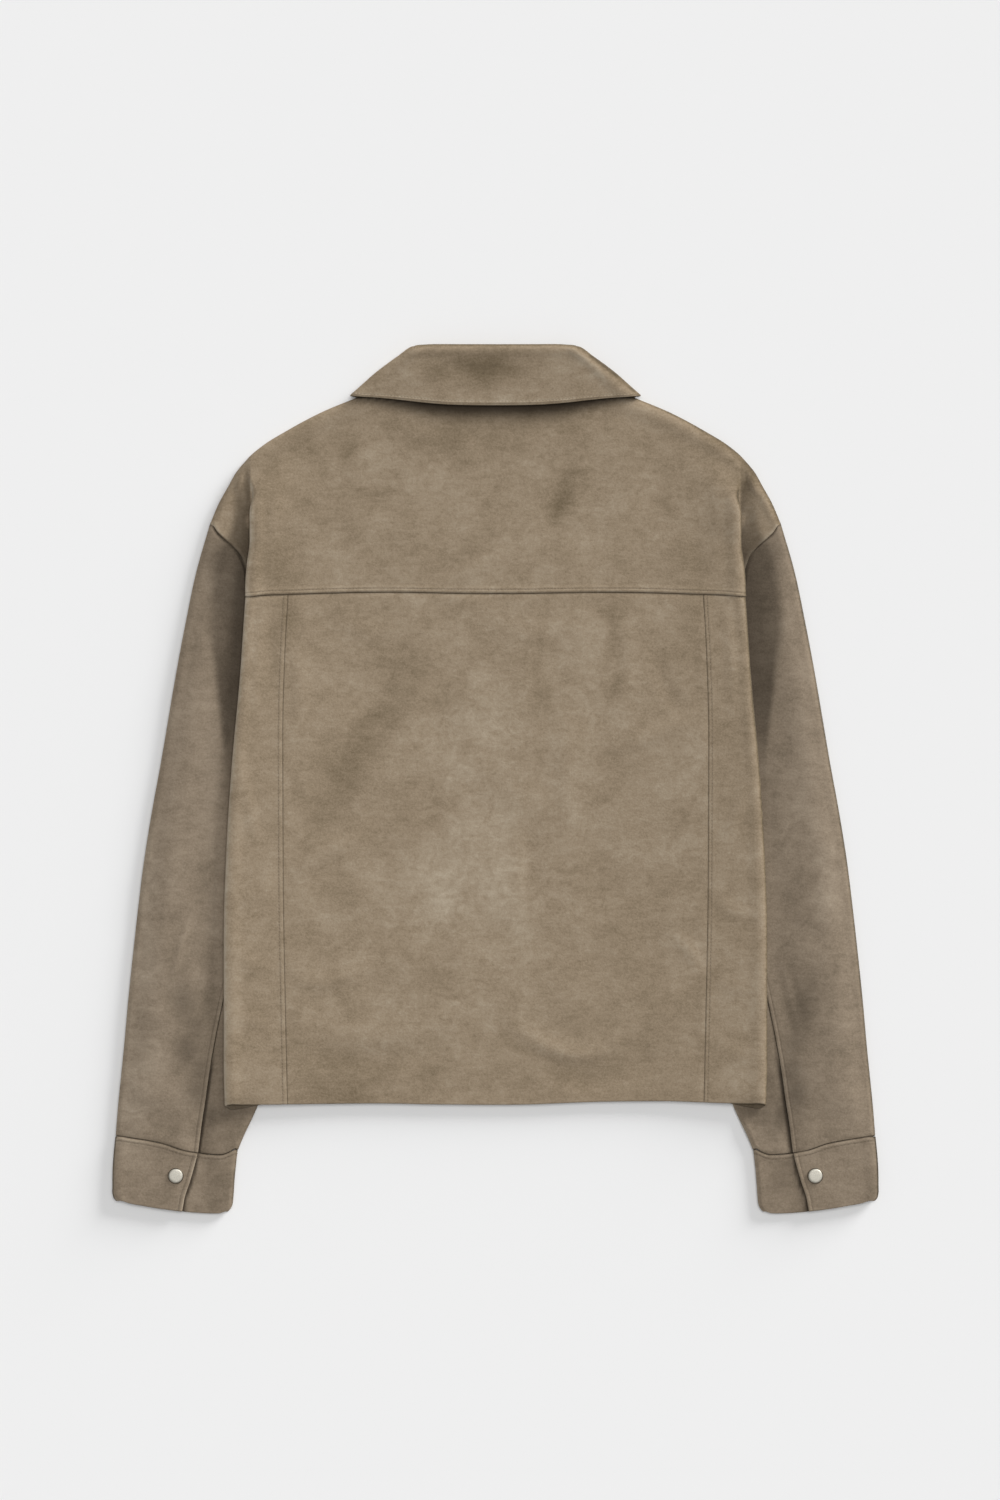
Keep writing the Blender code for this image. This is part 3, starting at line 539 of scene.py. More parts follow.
def sleeveHeight(x, y):
    free = grown(x - read(sideFold, "x", y), "sleeveFree")
    belowHem = grown(hemLine - y, "sleeveBelowHem")
    shoulder = grown(y, "shoulder")
    full = 1 - (1 - free) * (1 - belowHem) * (1 - shoulder)
    thinner, rimRun = heightSizes["sleeveRim"]
    rim = 1 - thinner * (1 - ease((read(sleeveOuter, "x", y) - x) / rimRun)) * (1 - shoulder)
    cuff = shrunk(y, "cuff") * shrunk(x, "cuffInner")
    spread = cutSizes["pressed"] + (cutSizes["puffed"] * rim - cutSizes["pressed"]) * full
    return layer(0) + spread * (1 - cuff) + heightSizes["cuffSpread"] * cuff


def collarLift(x, y):
    return cutSizes["layerStep"] * grown(x, "collarOut") * shrunk(x, "collarIn") * grown(y, "collarUp")


def frontHeight(x, y, side):
    out = np.maximum(x, 0)
    inside = read(turnedEdge, "x", y) - x
    atEdge = read(turnedEdge, "rise", y) * ease(1 - inside / heightSizes["edgeRise"])
    climb, start, run = heightSizes["lapRise"]
    lapped = climb * ease((start - x) / run) if side > 0 else 0.0 * x
    return layer(0) + np.maximum(np.maximum(atEdge, lapped), collarLift(out, y))


def yokeLine(x):
    knots, rises = np.array(yokeWave).T
    return yokeSeam + through(knots, rises, np.abs(x))


def frontSeamLine(x):
    knots, heights = np.array(shoulderSeam).T
    return through(knots, heights, x)


def cuffLine(x):
    knots, heights = np.array(cuffSeam[::-1]).T
    return through(knots, heights, x)


# coarse grids: the same middle surfaces as the solids, but for the collar's free edge, which is drawn
# 2.5 mm nearer the hem here
def hemRise(x):
    knots, rises = np.array(hemWave).T
    return through(knots, rises, x)


def withWave(grid, shares, side=1):
    # the hem is not quite level, and the cloth above it follows, less and less
    grid[..., 1] += hemRise(grid[..., 0] * side) * shares[:, None] ** 3
    return grid


def backCentreGrid():
    half, shares = np.linspace(0, 1, 7), np.linspace(0, 1, 16)
    grid = []
    for share in shares:
        y = yokeSeam + (hemLine - yokeSeam) * share
        x = half * (read(backSeam, "x", y) - gap / 2)
        top = yokeLine(x) - gap / 2
        y = top + (hemLine + half - top) * share
        row = np.stack([x, y, backHeight(x, y)], axis=-1)
        grid.append(np.concatenate([row[:0:-1] * [-1, 1, 1], row]))
    return withWave(np.array(grid), shares)


def backSideGrid(side):
    # out to the fold, round it, and back in below
    grid, shares = [], np.linspace(0, 1, 16)
    hemLap, underStart, drawn = 1, 3, 1.5
    lipFrom, lipRun = -290, 20
    for share in shares:
        middle = yokeSeam + (hemLine - yokeSeam) * share
        high, low = read(sideFold, "height", middle), layer(2)
        radius = (high - low) / 2
        seam = read(backSeam, "x", middle) + gap / 2
        turnX = read(sideFold, "x", middle) - cutSizes["halfWall"] - radius
        lip = cutSizes["hemLip"] * ease((lipFrom - middle) / lipRun)
        row = []
        for x in seam + (turnX - seam) * np.linspace(0, 1, 5):
            top = yokeLine(x) - gap / 2
            y = top + (hemLine + hemLap - top) * share
            reach = x + (cutSizes["halfWall"] + radius) * (x - seam) / (turnX - seam)
            row.append((x, y, backHeight(reach, middle)))
        for angle in np.linspace(0, math.pi, 7)[1:-1]:
            row.append((turnX + radius * math.sin(angle), y - lip * angle / math.pi,
                        (high + low) / 2 + radius * math.cos(angle)))
        underTop = yokeLine(turnX) - gap / 2 - underStart
        y = underTop + (hemLine - lip - underTop) * share
        under = read(turnedEdge, "x", y) + gap / 2
        for part in np.linspace(0, 1, 5):
            drawnIn = (lip + drawn * share) * ease((part - 0.3) / 0.4)
            row.append((turnX + (under - turnX) * part, y + drawnIn, low))
        grid.append(row)
    return withWave(np.array(grid), shares, side)


def pleatRun(turn, depth, outer, inner):
    # run and fall along cloth that turns under, runs back and turns out again; outer and inner are
    # the radii of its folds
    count = cutSizes["pleatBends"]
    shortestOuter, shortestBack, shortestInner = 1.2, 1.5, 0.9
    bends = (np.arange(count) + 0.5) / count * turn
    headings = np.concatenate([bends, [turn], bends[::-1]])
    lengths = np.concatenate([np.full(count, max(outer * turn / count, shortestOuter)),
                              [max(depth, shortestBack)],
                              np.full(count, max(inner * turn / count, shortestInner))])
    run = np.concatenate([[0], np.cumsum(lengths * np.cos(headings))])
    fall = np.concatenate([[0], np.cumsum(lengths * np.sin(headings))])
    return run, fall


def yokeEdge(share):
    share = np.asarray(share, float)
    neckShare = cutSizes["neckShare"]
    atNeck = planPath(neckBack)(np.clip(share / neckShare, 0, 1))
    atShoulder = planPath(shoulderLine)(np.clip((share - neckShare) / (1 - neckShare), 0, 1))
    return np.where((share <= neckShare)[..., None], atNeck, atShoulder)


# shares of the yoke's height, from its seam up to the shoulder line
yokeSizes = {
    "deepUpTo": 0.78,             # the pleat gets less deep up to here
    "turnFade": 0.6,              # its turn opens over this much below the shoulder line
    "insetFade": 0.3,
    "riseFrom": 0.5,              # from here the cloth rises to the shoulder's height
    "foldRadii": (2.0, 1.2),
    "reach": (115, 60),           # how far in the back falls from the fold, at the seam and at the top
}


def yokeGrid():
    # back of the yoke, the pleat beside each shoulder, and the turn over to the fronts
    main, rows = np.array([0, 0.125, 0.25, 0.375, 0.53, 0.68, 0.82, 0.93, 1]), np.linspace(0, 1, 9)
    lowCorner = (238.2, yokeLine(235))

    def lower(across):
        return np.stack([lowCorner[0] * across, yokeLine(lowCorner[0] * across)], axis=-1)

    foldLine = [lowCorner, (237.5, 196), (234, 222), (233.6, 262), shoulderEnd[0]]
    plan = fourEdges(lower, yokeEdge, [(0, yokeSeam), neckBack[0]], foldLine, main, rows)
    endX, endY = np.array(shoulderEnd).T
    deepUpTo, riseFrom, (seamReach, topReach) = (yokeSizes[key] for key in ("deepUpTo", "riseFrom", "reach"))
    grid = []
    for i, share in enumerate(rows):
        edgeX, edgeY = plan[i, -1]
        depth = cutSizes["pleatDepth"] * ease((deepUpTo - share) / deepUpTo)
        run, fall = pleatRun(math.pi * ease((1 - share) / yokeSizes["turnFade"]), depth,
                             *yokeSizes["foldRadii"])
        outHeight = max(sleeveHeight(edgeX, edgeY), layer(1)) if share > 0 else layer(1)
        high = outHeight + fall[-1]
        start = edgeX - (cutSizes["halfWall"] + np.max(run)) * ease((1 - share) / yokeSizes["insetFade"])
        rise = cutSizes["shoulderHeight"] - cutSizes["backBase"]
        base = cutSizes["backBase"] + rise * ease((share - riseFrom) / (1 - riseFrom))
        reach = seamReach + (topReach - seamReach) * share
        # across the back to the pleat's fold
        row = []
        for x, y in plan[i, :-1]:
            fallen = np.clip(1 - (edgeX - x) / reach, 0, 1) ** 2
            x = x * start / edgeX
            y = y if share > 0 else yokeLine(x)
            row.append([x, y + gap, base + (high - base) * fallen])
        # under, back and out again, and on to the armhole seam
        seamY = armholeSeen["y"][-1] + (armholeSeen["y"][0] - armholeSeen["y"][-1]) * share
        seamX = read(armholeSeen, "x", seamY)
        steps = [start + dx for dx in run]
        clear = edgeGap + (gap - edgeGap) * share ** 6
        steps += [steps[-1] + (seamX - clear - steps[-1]) * part for part in (0.34, 0.67, 1.0)]
        heights = [high - dz for dz in fall]
        beyondSeam = edgeY + through(endX, endY, seamX) - endY[0] - seamY
        for k, x in enumerate(steps):
            across = max(k - cutSizes["pleatBends"], 0) / (len(steps) - 1 - cutSizes["pleatBends"])
            yRow = edgeY + (seamY - edgeY) * across + gap / 2
            yTop = edgeY + through(endX, endY, x) - endY[0] + gap / 2
            y = yRow + (yTop - yRow - beyondSeam * across ** 4) * share ** 3
            z = heights[k] if k < len(heights) else max(sleeveHeight(x, y), layer(1))
            row.append([x, y, z])
        grid.append(row)
    # over the shoulder line and down to the front seam
    half = np.array(grid)
    columns = half.shape[1]
    edge = half[-1, :, :2].copy()
    push = outward(edge[::-1])[::-1]
    lowHeight = layer(0) + collarLift(edge[:, 0], 330.0)      # far enough up for the whole lift
    radius = (half[-1, :, 2] - lowHeight) / 2
    neckColumn = int(round(cutSizes["neckShare"] * (len(main) - 1)))
    hasFold = np.arange(columns) >= neckColumn
    start = edge - push * ((radius + cutSizes["halfWall"]) * hasFold)[:, None]
    half[-1, :, :2] = start
    folds = rollOver(half[-1], raised(start, lowHeight), push, radius, 3)
    shares = np.clip((np.arange(columns) / (columns - 1) - cutSizes["neckShare"] / 2)
                     / (1 - cutSizes["neckShare"] / 2), 0, 1)
    seamLine = planPath(shoulderSeam)(shares)
    seamLine[:, 1] = frontSeamLine(seamLine[:, 0]) + 2 * gap
    under = [raised(start, lowHeight)]
    for part in (0.5, 1.0):
        planRow = start + (seamLine - start) * part
        under.append(raised(planRow, layer(0) + collarLift(planRow[:, 0], planRow[:, 1])))
    full = np.concatenate([half, np.array(folds), np.array(under)])
    both = np.concatenate([mirrored(full[:, :0:-1], -1), full], axis=1)
    folds = [neckColumn, 8, 10, 12, 13, 15, 17]
    middle = columns - 1
    return both, len(rows) - 1, [middle - k for k in folds[::-1]] + [middle + k for k in folds]


def frontGrid(side):
    # from the centre edge out to the turned-under side, and up to the front shoulder seam
    hemY, neckY, sideTop = hemLine + 1.5, 299, 20
    lapX = -cutSizes["centreOverlap"]
    hem = [(lapX, hemY), (turnedEdge["x"][-1], hemY)]
    top = [(lapX, neckY)] + neckFront[:0:-1] + shoulderSeam[1:-1] + [armholeFront[1]]
    sideEdge = [(x, y) for x, y in zip(turnedEdge["x"][::-1], turnedEdge["y"][::-1]) if y < sideTop]
    sideEdge[0] = (sideEdge[0][0], hemY)
    outer = sideEdge + armholeFront[4:0:-1]
    centre = [(lapX, hemY), (lapX, neckY)]
    across = np.array([0, 0.06, 0.11, 0.16, 0.25, 0.35, 0.45, 0.56, 0.67, 0.78, 0.89, 1.0])
    along = np.linspace(0, 1, 17)
    plan = fourEdges(hem, top, centre, outer, across, along)
    plan[:, -1, 0] = read(turnedEdge, "x", plan[:, -1, 1]) - edgeGap
    atShoulder = plan[-1, :, 0] > shoulderSeam[0][0]
    plan[-1, atShoulder, 1] = frontSeamLine(plan[-1, atShoulder, 0])
    plan[-1, :, 1] -= 3 * gap
    return withWave(raised(plan, frontHeight(plan[:, :, 0], plan[:, :, 1], side)), 1 - along, side)


def sleeveLayers(across, along):
    # upper and lower layer of a sleeve in plan, from the armhole down to the cuff
    outerInset, innerInset = 3.2, 2.1    # the cloth's folds lie this far in from the outline

    def outerEdge(share):
        return downTable(sleeveOuter, 241, -339)(share) - [outerInset, 0]

    def innerEdge(share):
        return downTable(sleeveInner, 12, -351)(share) + [innerInset, 0]

    def row(points):
        def at(share):
            inset = innerInset * share ** 6 - outerInset * (1 - share) ** 6
            return planPath(points)(share) + np.stack([inset, 0 * inset], axis=-1)
        return at

    upper = fourEdges(row(armholeBack), row(cuffSeam), outerEdge, innerEdge, across, along)
    lower = fourEdges(row(armholeFront), row(cuffSeam), outerEdge, innerEdge, across, along)
    seenDown, hiddenFrom = 183, 163      # down to here the armhole shows, and from here it's under the back
    seen = (upper[0, :, 1] > seenDown) & (across > 0)
    upper[0, seen, 0] = read(armholeSeen, "x", upper[0, seen, 1]) + gap
    hidden = upper[0, :, 1] <= hiddenFrom
    shift = edgeGap + innerInset * across ** 6
    upper[0, hidden, 0] = read(turnedEdge, "x", upper[0, hidden, 1]) + shift[hidden]
    lower[0, 1:, 0] = read(turnedEdge, "x", lower[0, 1:, 1]) + shift[1:]
    for plan in (upper, lower):
        plan[0, :, 1] -= gap
        plan[-1, :, 1] = cuffLine(plan[-1, :, 0]) + 1.5 * gap
    return upper, lower


def columnAt(plan, across, along, share):
    # one line of a plan, from its first row to its last, at a share of its width
    found = np.empty((len(along), 2))
    for i in range(len(along)):
        for axis in (0, 1):
            found[i, axis] = np.interp(np.broadcast_to(share, len(along))[i], across, plan[i, :, axis])
    return found


def sleeveGrids():
    # upper cut with the outer fold, and under cut with the inner one, each running on below
    across = np.linspace(0, 1, 67)
    along = np.concatenate([np.linspace(0, 0.86, 12), [0.89, 0.92, 0.95, 0.975, 1.0]])
    upper, lower = sleeveLayers(across, along)
    high, low = raised(upper, sleeveHeight(upper[..., 0], upper[..., 1])), raised(lower, layer(0))
    seam = through(*np.array(sleeveSeam).T, along)
    half = gap / cutSizes["sleeveWidth"]
    frontShare = cutSizes["frontSeamShare"]

    def at(points, share):
        plan = columnAt(points, across, along, share)
        return raised(plan, sleeveHeight(plan[:, 0], plan[:, 1]) if points is upper else layer(0))

    def arc(start, end, sign, steps):
        return rollOver(start, end, outward(start[:, :2]) * sign, (end[:, 2] - start[:, 2]) / 2, steps)

    over = [at(lower, frontShare * part) for part in np.linspace(1, 0, 7)]
    over += arc(low[:, 0], high[:, 0], -1, 4)
    over += [at(upper, (seam - half) * part ** 1.3) for part in np.linspace(0, 1, 11)]
    under = [at(upper, seam + half + (1 - seam - half) * part) for part in np.linspace(0, 1, 6)]
    under += arc(low[:, -1], high[:, -1], 1, 3)[::-1]
    under += [at(lower, 1 - (1 - frontShare - 2 * half) * part) for part in np.linspace(0, 1, 4)]
    return np.stack(over, axis=1), np.stack(under, axis=1)


def cuffGrid():
    # one band from the lapped end round the outer fold to the end under its own start
    topHeight, underHeight = cutSizes["shoulderHeight"], 4.5
    atEnd, innerShift, outerShift = 0.06, 2.8, 4.0    # both folds are drawn in from the outline
    across, along = np.linspace(0, 1, 25), np.array(cuffRows, float)
    plan = fourEdges(cuffSeam, cuffEnd, cuffOuter, cuffInner, across, along)
    lapEdge = np.array(cuffLap)

    def at(share, height):
        points = columnAt(plan, across, along, share)
        share = np.broadcast_to(share, len(along))
        shift = innerShift * np.clip((share - 1 + atEnd) / atEnd, 0, 1)
        shift = shift - outerShift * np.clip((atEnd - share) / atEnd, 0, 1)
        points = points + np.stack([shift, 0 * shift], axis=-1)
        points[0, 1] = cuffLine(points[0, 0]) - gap
        return raised(points, height)

    columns = [at(lapEdge * part, topHeight) for part in (1, 0.8, 0.6, 0.4, 0.2, 0)]
    columns += rollOver(columns[-1], at(0, layer(0)), np.tile([1.0, 0.0], (len(along), 1)),
                        np.full(len(along), (topHeight - layer(0)) / 2), 5)
    columns += [at(part, layer(0)) for part in (0, 0.25, 0.5, 0.7, 0.85, 0.94, 1)]
    columns += rollOver(columns[-1], at(1, underHeight), np.tile([-1.0, 0.0], (len(along), 1)),
                        np.full(len(along), (underHeight - layer(0)) / 2), 4)
    columns += [at(part, underHeight) for part in (1, 0.94, 0.87, 0.79, 0.68, 0.57, 0.45)]
    return np.stack(columns, axis=1)


def collarGrid():
    # stand and leaf in one cut, rolled at the top and wrapped round both sides of the neck
    leafRows, standRows, columnShares = np.linspace(0, 1, 6), np.linspace(0, 1, 4), np.linspace(0, 1, 7)
    rollInset, sideInset, standDrop = 3.9, 5.0, 5.9
    rollY, rollHeight = cutSizes["collarTop"] - rollInset, cutSizes["collarRoll"]
    rollBack = [(0, rollY), (58, rollY), (78.5, 407.6)]
    standCorner, neckCorner = (74.5, 404.2), (91, 381.5)
    sideLine = [rollBack[-1]]
    sideLine += [(x - sideInset * u, y - sideInset * v) for (x, y), (u, v) in zip(leafSide, leafFacing)]
    frontEdge = [(12, 345), (36, 314), (62, 284)]
    rollLine = [rollBack[-1], (50, 386), (30, 364), (12, 345)]
    edgeLine = leafEdge + [sideLine[-1]]
    pointLine = [sideLine[-1], (116, 332), (90, 304), (62, 284)]
    leafBack = fourEdges(rollBack, edgeLine, [rollBack[0], leafEdge[0]], sideLine, columnShares, leafRows)
    leafFront = fourEdges(rollLine, pointLine, sideLine, frontEdge, columnShares, leafRows)
    standSide = [standCorner, neckCorner]
    standBack = fourEdges([(0, rollY), (55, rollY), standCorner], [(0, 378), (50, 379), neckCorner],
                          [(0, rollY), (0, 378)], standSide, columnShares, standRows)
    standFront = fourEdges([standCorner, (48, 384), (29, 362), (12, 343)],
                           [neckCorner, (93, 355), (75, 330.5), (48, 311), (12, 303.5)],
                           standSide, [(12, 343), (12, 303)], columnShares, standRows)
    leafHeight = cutSizes["leafEdge"] + (rollHeight - cutSizes["leafEdge"]) * (1 - leafRows) ** 1.5
    standTop = rollHeight - standDrop
    standHeight = standTop + (cutSizes["shoulderHeight"] - standTop) * standRows
    order = range(len(columnShares) - 1, -1, -1)
    columns = [(raised(leafFront[:, k], layer(0)), raised(standFront[:, k], layer(1))) for k in order]
    leafLow, leafHigh = columns[-1][0], raised(leafBack[:, -1], leafHeight)
    standLow, standHigh = columns[-1][1], raised(standBack[:, -1], standHeight)
    leafPush, standPush = np.array([leafFacing[0]] * 4 + leafFacing[2:]), np.tile(leafFacing[0], (4, 1))
    leafTurn = rollOver(leafLow, leafHigh, leafPush, np.array(cutSizes["leafSwell"]), 5)
    standTurn = rollOver(standLow, standHigh, standPush, np.full(4, cutSizes["standSwell"]), 5)
    columns += list(zip(leafTurn, standTurn))
    columns += [(raised(leafBack[:, k], leafHeight), raised(standBack[:, k], standHeight)) for k in order]
    pushes = [np.array([-0.64, 0.77])] * 12 + [np.array([-0.25, 0.97])] + [np.array([0.0, 1.0])] * 6
    grid = []
    for k, ((leaf, stand), push) in enumerate(zip(columns, pushes)):
        fullness = 0.5 - 0.17 * math.exp(-((k - 9) / 1.8) ** 2)     # less where it turns round the neck
        half = np.linalg.norm(leaf[0] - stand[0]) * fullness
        bend = rollOver(leaf[:1], stand[:1], push[None], np.array([half]), 4)
        grid.append(np.concatenate([leaf[::-1], *bend, stand]))
    half = np.array(grid)
    return np.concatenate([mirrored(half, -1), half[-2::-1]])


# finer grids
seamLines = np.array([0.0, 0.3, 0.7, 1.2, 2.0, 3.0, 3.9, 4.75, 5.6, 6.8, 8.5])   # distances from a seam
rimLines = np.array([0.0, 0.3, 0.7, 1.2, 2.2])                                   # from a plain edge
stitchLine = 6                                                                   # 3.9 in seamLines


def smoothRead(points, knots, at):
    # smooth curve through points in space, read at distances along it
    steps = np.diff(knots)
    slopes = np.diff(points, axis=0) / steps[:, None]
    tangents = np.empty_like(points)
    tangents[0], tangents[-1] = slopes[0], slopes[-1]
    share = (steps[:-1] / (steps[:-1] + steps[1:]))[:, None]
    tangents[1:-1] = slopes[:-1] * (1 - share) + slopes[1:] * share
    i = np.clip(np.searchsorted(knots, at, side="right") - 1, 0, len(steps) - 1)
    t = ((at - knots[i]) / steps[i])[:, None]
    rise = t * t * (3 - 2 * t)
    return (points[i] * (1 - rise) + points[i + 1] * rise
            + steps[i][:, None] * (tangents[i] * t * (1 - t) ** 2 - tangents[i + 1] * t * t * (1 - t)))


def refine(grid, axis, spacing, near, anchors=()):
    # closer lines along one direction: at set distances from both ends, even between the anchors
    curves = np.moveaxis(grid, axis, 0)
    steps = np.maximum(np.linalg.norm(np.diff(curves, axis=0), axis=2), 1e-3)
    knots = np.concatenate([np.zeros((1, steps.shape[1])), np.cumsum(steps, axis=0)])
    typical = knots.mean(axis=1)
    stops = [near[0][-1]] + [typical[a] for a in anchors] + [typical[-1] - near[1][-1]]
    counts = [max(3, int(math.ceil((b - a) / spacing))) for a, b in zip(stops, stops[1:])]
    lines = []
    for j in range(curves.shape[1]):
        length = knots[-1, j]
        squeeze = [min(1.0, 0.4 * length / ends[-1]) for ends in near]
        start, end = near[0] * squeeze[0], length - (near[1] * squeeze[1])[::-1]
        marks = [start[-1]] + [knots[a, j] for a in anchors] + [end[0]]
        between = [np.linspace(a, b, n + 1)[:-1] for a, b, n in zip(marks, marks[1:], counts)]
        lines.append(smoothRead(curves[:, j], knots[:, j], np.concatenate([start[:-1], *between, end])))
    return np.moveaxis(np.stack(lines, axis=1), 0, axis), counts


def spanFrom(grid, axis):
    # distance of each point from the two ends of its line
    steps = np.linalg.norm(np.diff(grid, axis=axis), axis=2)
    run = np.cumsum(steps, axis=axis)
    run = np.concatenate([np.zeros_like(np.take(run, [0], axis=axis)), run], axis=axis)
    return run, np.take(run, [-1], axis=axis) - run


def facing(grid):
    # unit normals of the middle surface
    normal = np.cross(np.gradient(grid, axis=0), np.gradient(grid, axis=1))
    return normal / np.maximum(np.linalg.norm(normal, axis=2), 1e-9)[..., None]


# creases and nap marks
# Each crease bends through three points. A height over 0 is a ridge, under 0 a trough; lean makes its
# right side steeper; tone is how much paler the nap is along a ridge, as wear and as painted light, and how
# much darker along a trough, as painted shade.
bodyCreases = sizeTable(
    "x0    y0    x1    y1    x2    y2    width lean  height tone",
    (17,   -236, 68,   -262, 112,  -255, 8.0,  0.25, 1.5,   0.20),
    (104,  -257, 140,  -232, 184,  -188, 9.0,  0.20, 1.1,   0.08),
    (-190, -92,  -160, -72,  -124, -50,  9.0,  0.20, 1.2,   0.10),
    (-190, -188, -158, -193, -104, -172, 9.0,  0.25, 1.0,   0.10),
    (118,  30,   160,  44,   196,  67,   8.0,  0.20, 0.9,   0.08),
    (170,  -150, 184,  -163, 197,  -184, 6.0,  0.0,  0.7,   0.14),
    (-182, -236, -112, -245, -30,  -226, 15.0, 0.10, 0.8,   0.05),
    (-182, -262, -120, -268, -60,  -262, 13.0, 0.0,  -0.7,  -0.08),
    (67,   72,   66,   10,   70,   -56,  12.0, 0.0,  0.5,   0.05),
    (30,   -40,  32,   -80,  28,   -118, 10.0, 0.3,  -0.5,  -0.06),
    (-94,  118,  -135, 30,   -187, -62,  24.0, 0.0,  -0.7,  -0.10),
    (-60,  110,  -92,  40,   -150, -60,  16.0, 0.0,  0.5,   0.05),
    (50,   -272, 100,  -284, 176,  -252, 12.0, 0.0,  -0.8,  -0.06),
    (-195, 120,  -186, 90,   -190, 40,   8.0,  0.0,  0.5,   0.05),
    (120,  150,  126,  110,  118,  70,   9.0,  0.0,  0.5,   0.04),
    (150,  130,  163,  84,   186,  60,   8.0,  0.0,  -0.5,  -0.05),
    (-20,  30,   10,   -10,  60,   -22,  18.0, 0.0,  0.5,   0.04),
    (-40,  -160, 20,   -150, 90,   -168, 20.0, 0.0,  -0.5,  -0.04),
    (-150, 160,  -120, 140,  -80,  150,  9.0,  0.0,  0.5,   0.03),
    (-10,  160,  30,   140,  84,   152,  11.0, 0.0,  0.45,  0.03))

sideCreases = sizeTable(
    "x0    y0    x1    y1    x2    y2    width lean  height tone",
    (-222, 168,  -226, 120,  -229, 60,   5.0,  0.0,  0.5,   0.05),
    (-211, 160,  -213, 120,  -211, 76,   5.0,  0.0,  -0.4,  -0.04),
    (-243, 20,   -236, -20,  -226, -64,  6.0,  0.0,  0.6,   0.06),
    (-214, -92,  -224, -108, -246, -116, 7.0,  0.0,  0.6,   0.04),
    (-246, -160, -232, -176, -214, -178, 7.0,  0.0,  0.5,   0.05),
    (-250, -236, -236, -228, -216, -240, 8.0,  0.0,  0.6,   0.04),
    (219,  166,  223,  120,  226,  70,   5.0,  0.0,  0.5,   0.05),
    (232,  150,  236,  110,  238,  70,   4.5,  0.0,  -0.4,  -0.04),
    (240,  10,   230,  -30,  218,  -58,  6.0,  0.0,  0.6,   0.06),
    (212,  -110, 226,  -126, 248,  -128, 7.0,  0.0,  0.6,   0.04),
    (250,  -190, 232,  -200, 212,  -190, 7.0,  0.0,  0.5,   0.05),
    (214,  -252, 232,  -262, 250,  -256, 8.0,  0.0,  0.5,   0.04))

yokeCreases = sizeTable(
    "x0    y0    x1    y1    x2    y2    width lean  height tone",
    (12,   219,  -24,  197,  -62,  178,  7.0,  0.0,  0.6,   0.07),
    (-206, 292,  -212, 250,  -214, 196,  8.0,  0.0,  0.6,   0.04),
    (-188, 236,  -190, 214,  -184, 190,  8.0,  0.0,  -0.4,  -0.06),
    (208,  290,  212,  248,  210,  200,  8.0,  0.0,  0.6,   0.04),
    (186,  230,  192,  210,  186,  186,  7.0,  0.0,  -0.4,  -0.06),
    (-120, 352,  -60,  328,  -20,  322,  14.0, 0.0,  0.6,   0.03),
    (30,   322,  80,   330,  130,  346,  14.0, 0.0,  0.6,   0.03),
    (-150, 262,  -110, 240,  -60,  244,  18.0, 0.0,  0.5,   0.03),
    (40,   250,  90,   232,  150,  250,  18.0, 0.0,  -0.4,  -0.04),
    (70,   296,  62,   272,  50,   244,  12.0, 0.0,  -0.5,  -0.08))

sleeveCreases = sizeTable(
    "x0    y0    x1    y1    x2    y2    width lean  height tone",
    (-266, -160, -276, -205, -290, -250, 11.0, 0.0,  -1.6,  -0.12),
    (-272, -167, -281, -205, -293, -243, 3.6,  0.2,  0.9,   0.10),
    (-290, -132, -299, -158, -308, -198, 2.6,  0.2,  0.8,   0.16),
    (-252, -270, -262, -296, -270, -330, 12.0, 0.0,  -1.2,  -0.10),
    (-262, 40,   -270, -20,  -276, -90,  12.0, 0.0,  0.8,   0.04),
    (-300, 150,  -306, 90,   -300, 30,   14.0, 0.0,  0.6,   0.03),
    (-292, -60,  -310, -84,  -334, -90,  12.0, 0.0,  0.7,   0.04),
    (-284, -120, -306, -136, -330, -134, 11.0, 0.0,  -0.6,  -0.05),
    (-338, -210, -320, -226, -300, -220, 12.0, 0.0,  0.7,   0.05),
    (-350, -286, -330, -300, -306, -304, 10.0, 0.0,  0.6,   0.04),
    (266,  -160, 277,  -205, 291,  -250, 11.0, 0.0,  -1.6,  -0.12),
    (272,  -170, 281,  -208, 292,  -246, 3.6,  -0.2, 0.9,   0.10),
    (252,  -272, 262,  -298, 270,  -330, 12.0, 0.0,  -1.2,  -0.10),
    (262,  34,   272,  -26,  278,  -96,  12.0, 0.0,  0.8,   0.04),
    (298,  140,  305,  84,   302,  20,   14.0, 0.0,  0.6,   0.03),
    (300,  -40,  316,  -66,  332,  -72,  12.0, 0.0,  0.7,   0.04),
    (280,  -130, 304,  -150, 334,  -146, 11.0, 0.0,  -0.6,  -0.05),
    (340,  -220, 322,  -236, 300,  -228, 12.0, 0.0,  0.7,   0.05),
    (346,  -300, 330,  -308, 310,  -312, 10.0, 0.0,  0.5,   0.04))

collarCreases = sizeTable(
    "x0    y0    x1    y1    x2    y2    width lean  height tone",
    (-66,  396,  -20,  388,  34,   394,  9.0,  0.0,  -0.5,  -0.05),
    (-92,  376,  -70,  384,  -52,  398,  8.0,  0.0,  0.5,   0.05),
    (60,   372,  78,   384,  84,   396,  8.0,  0.0,  0.5,   0.05))

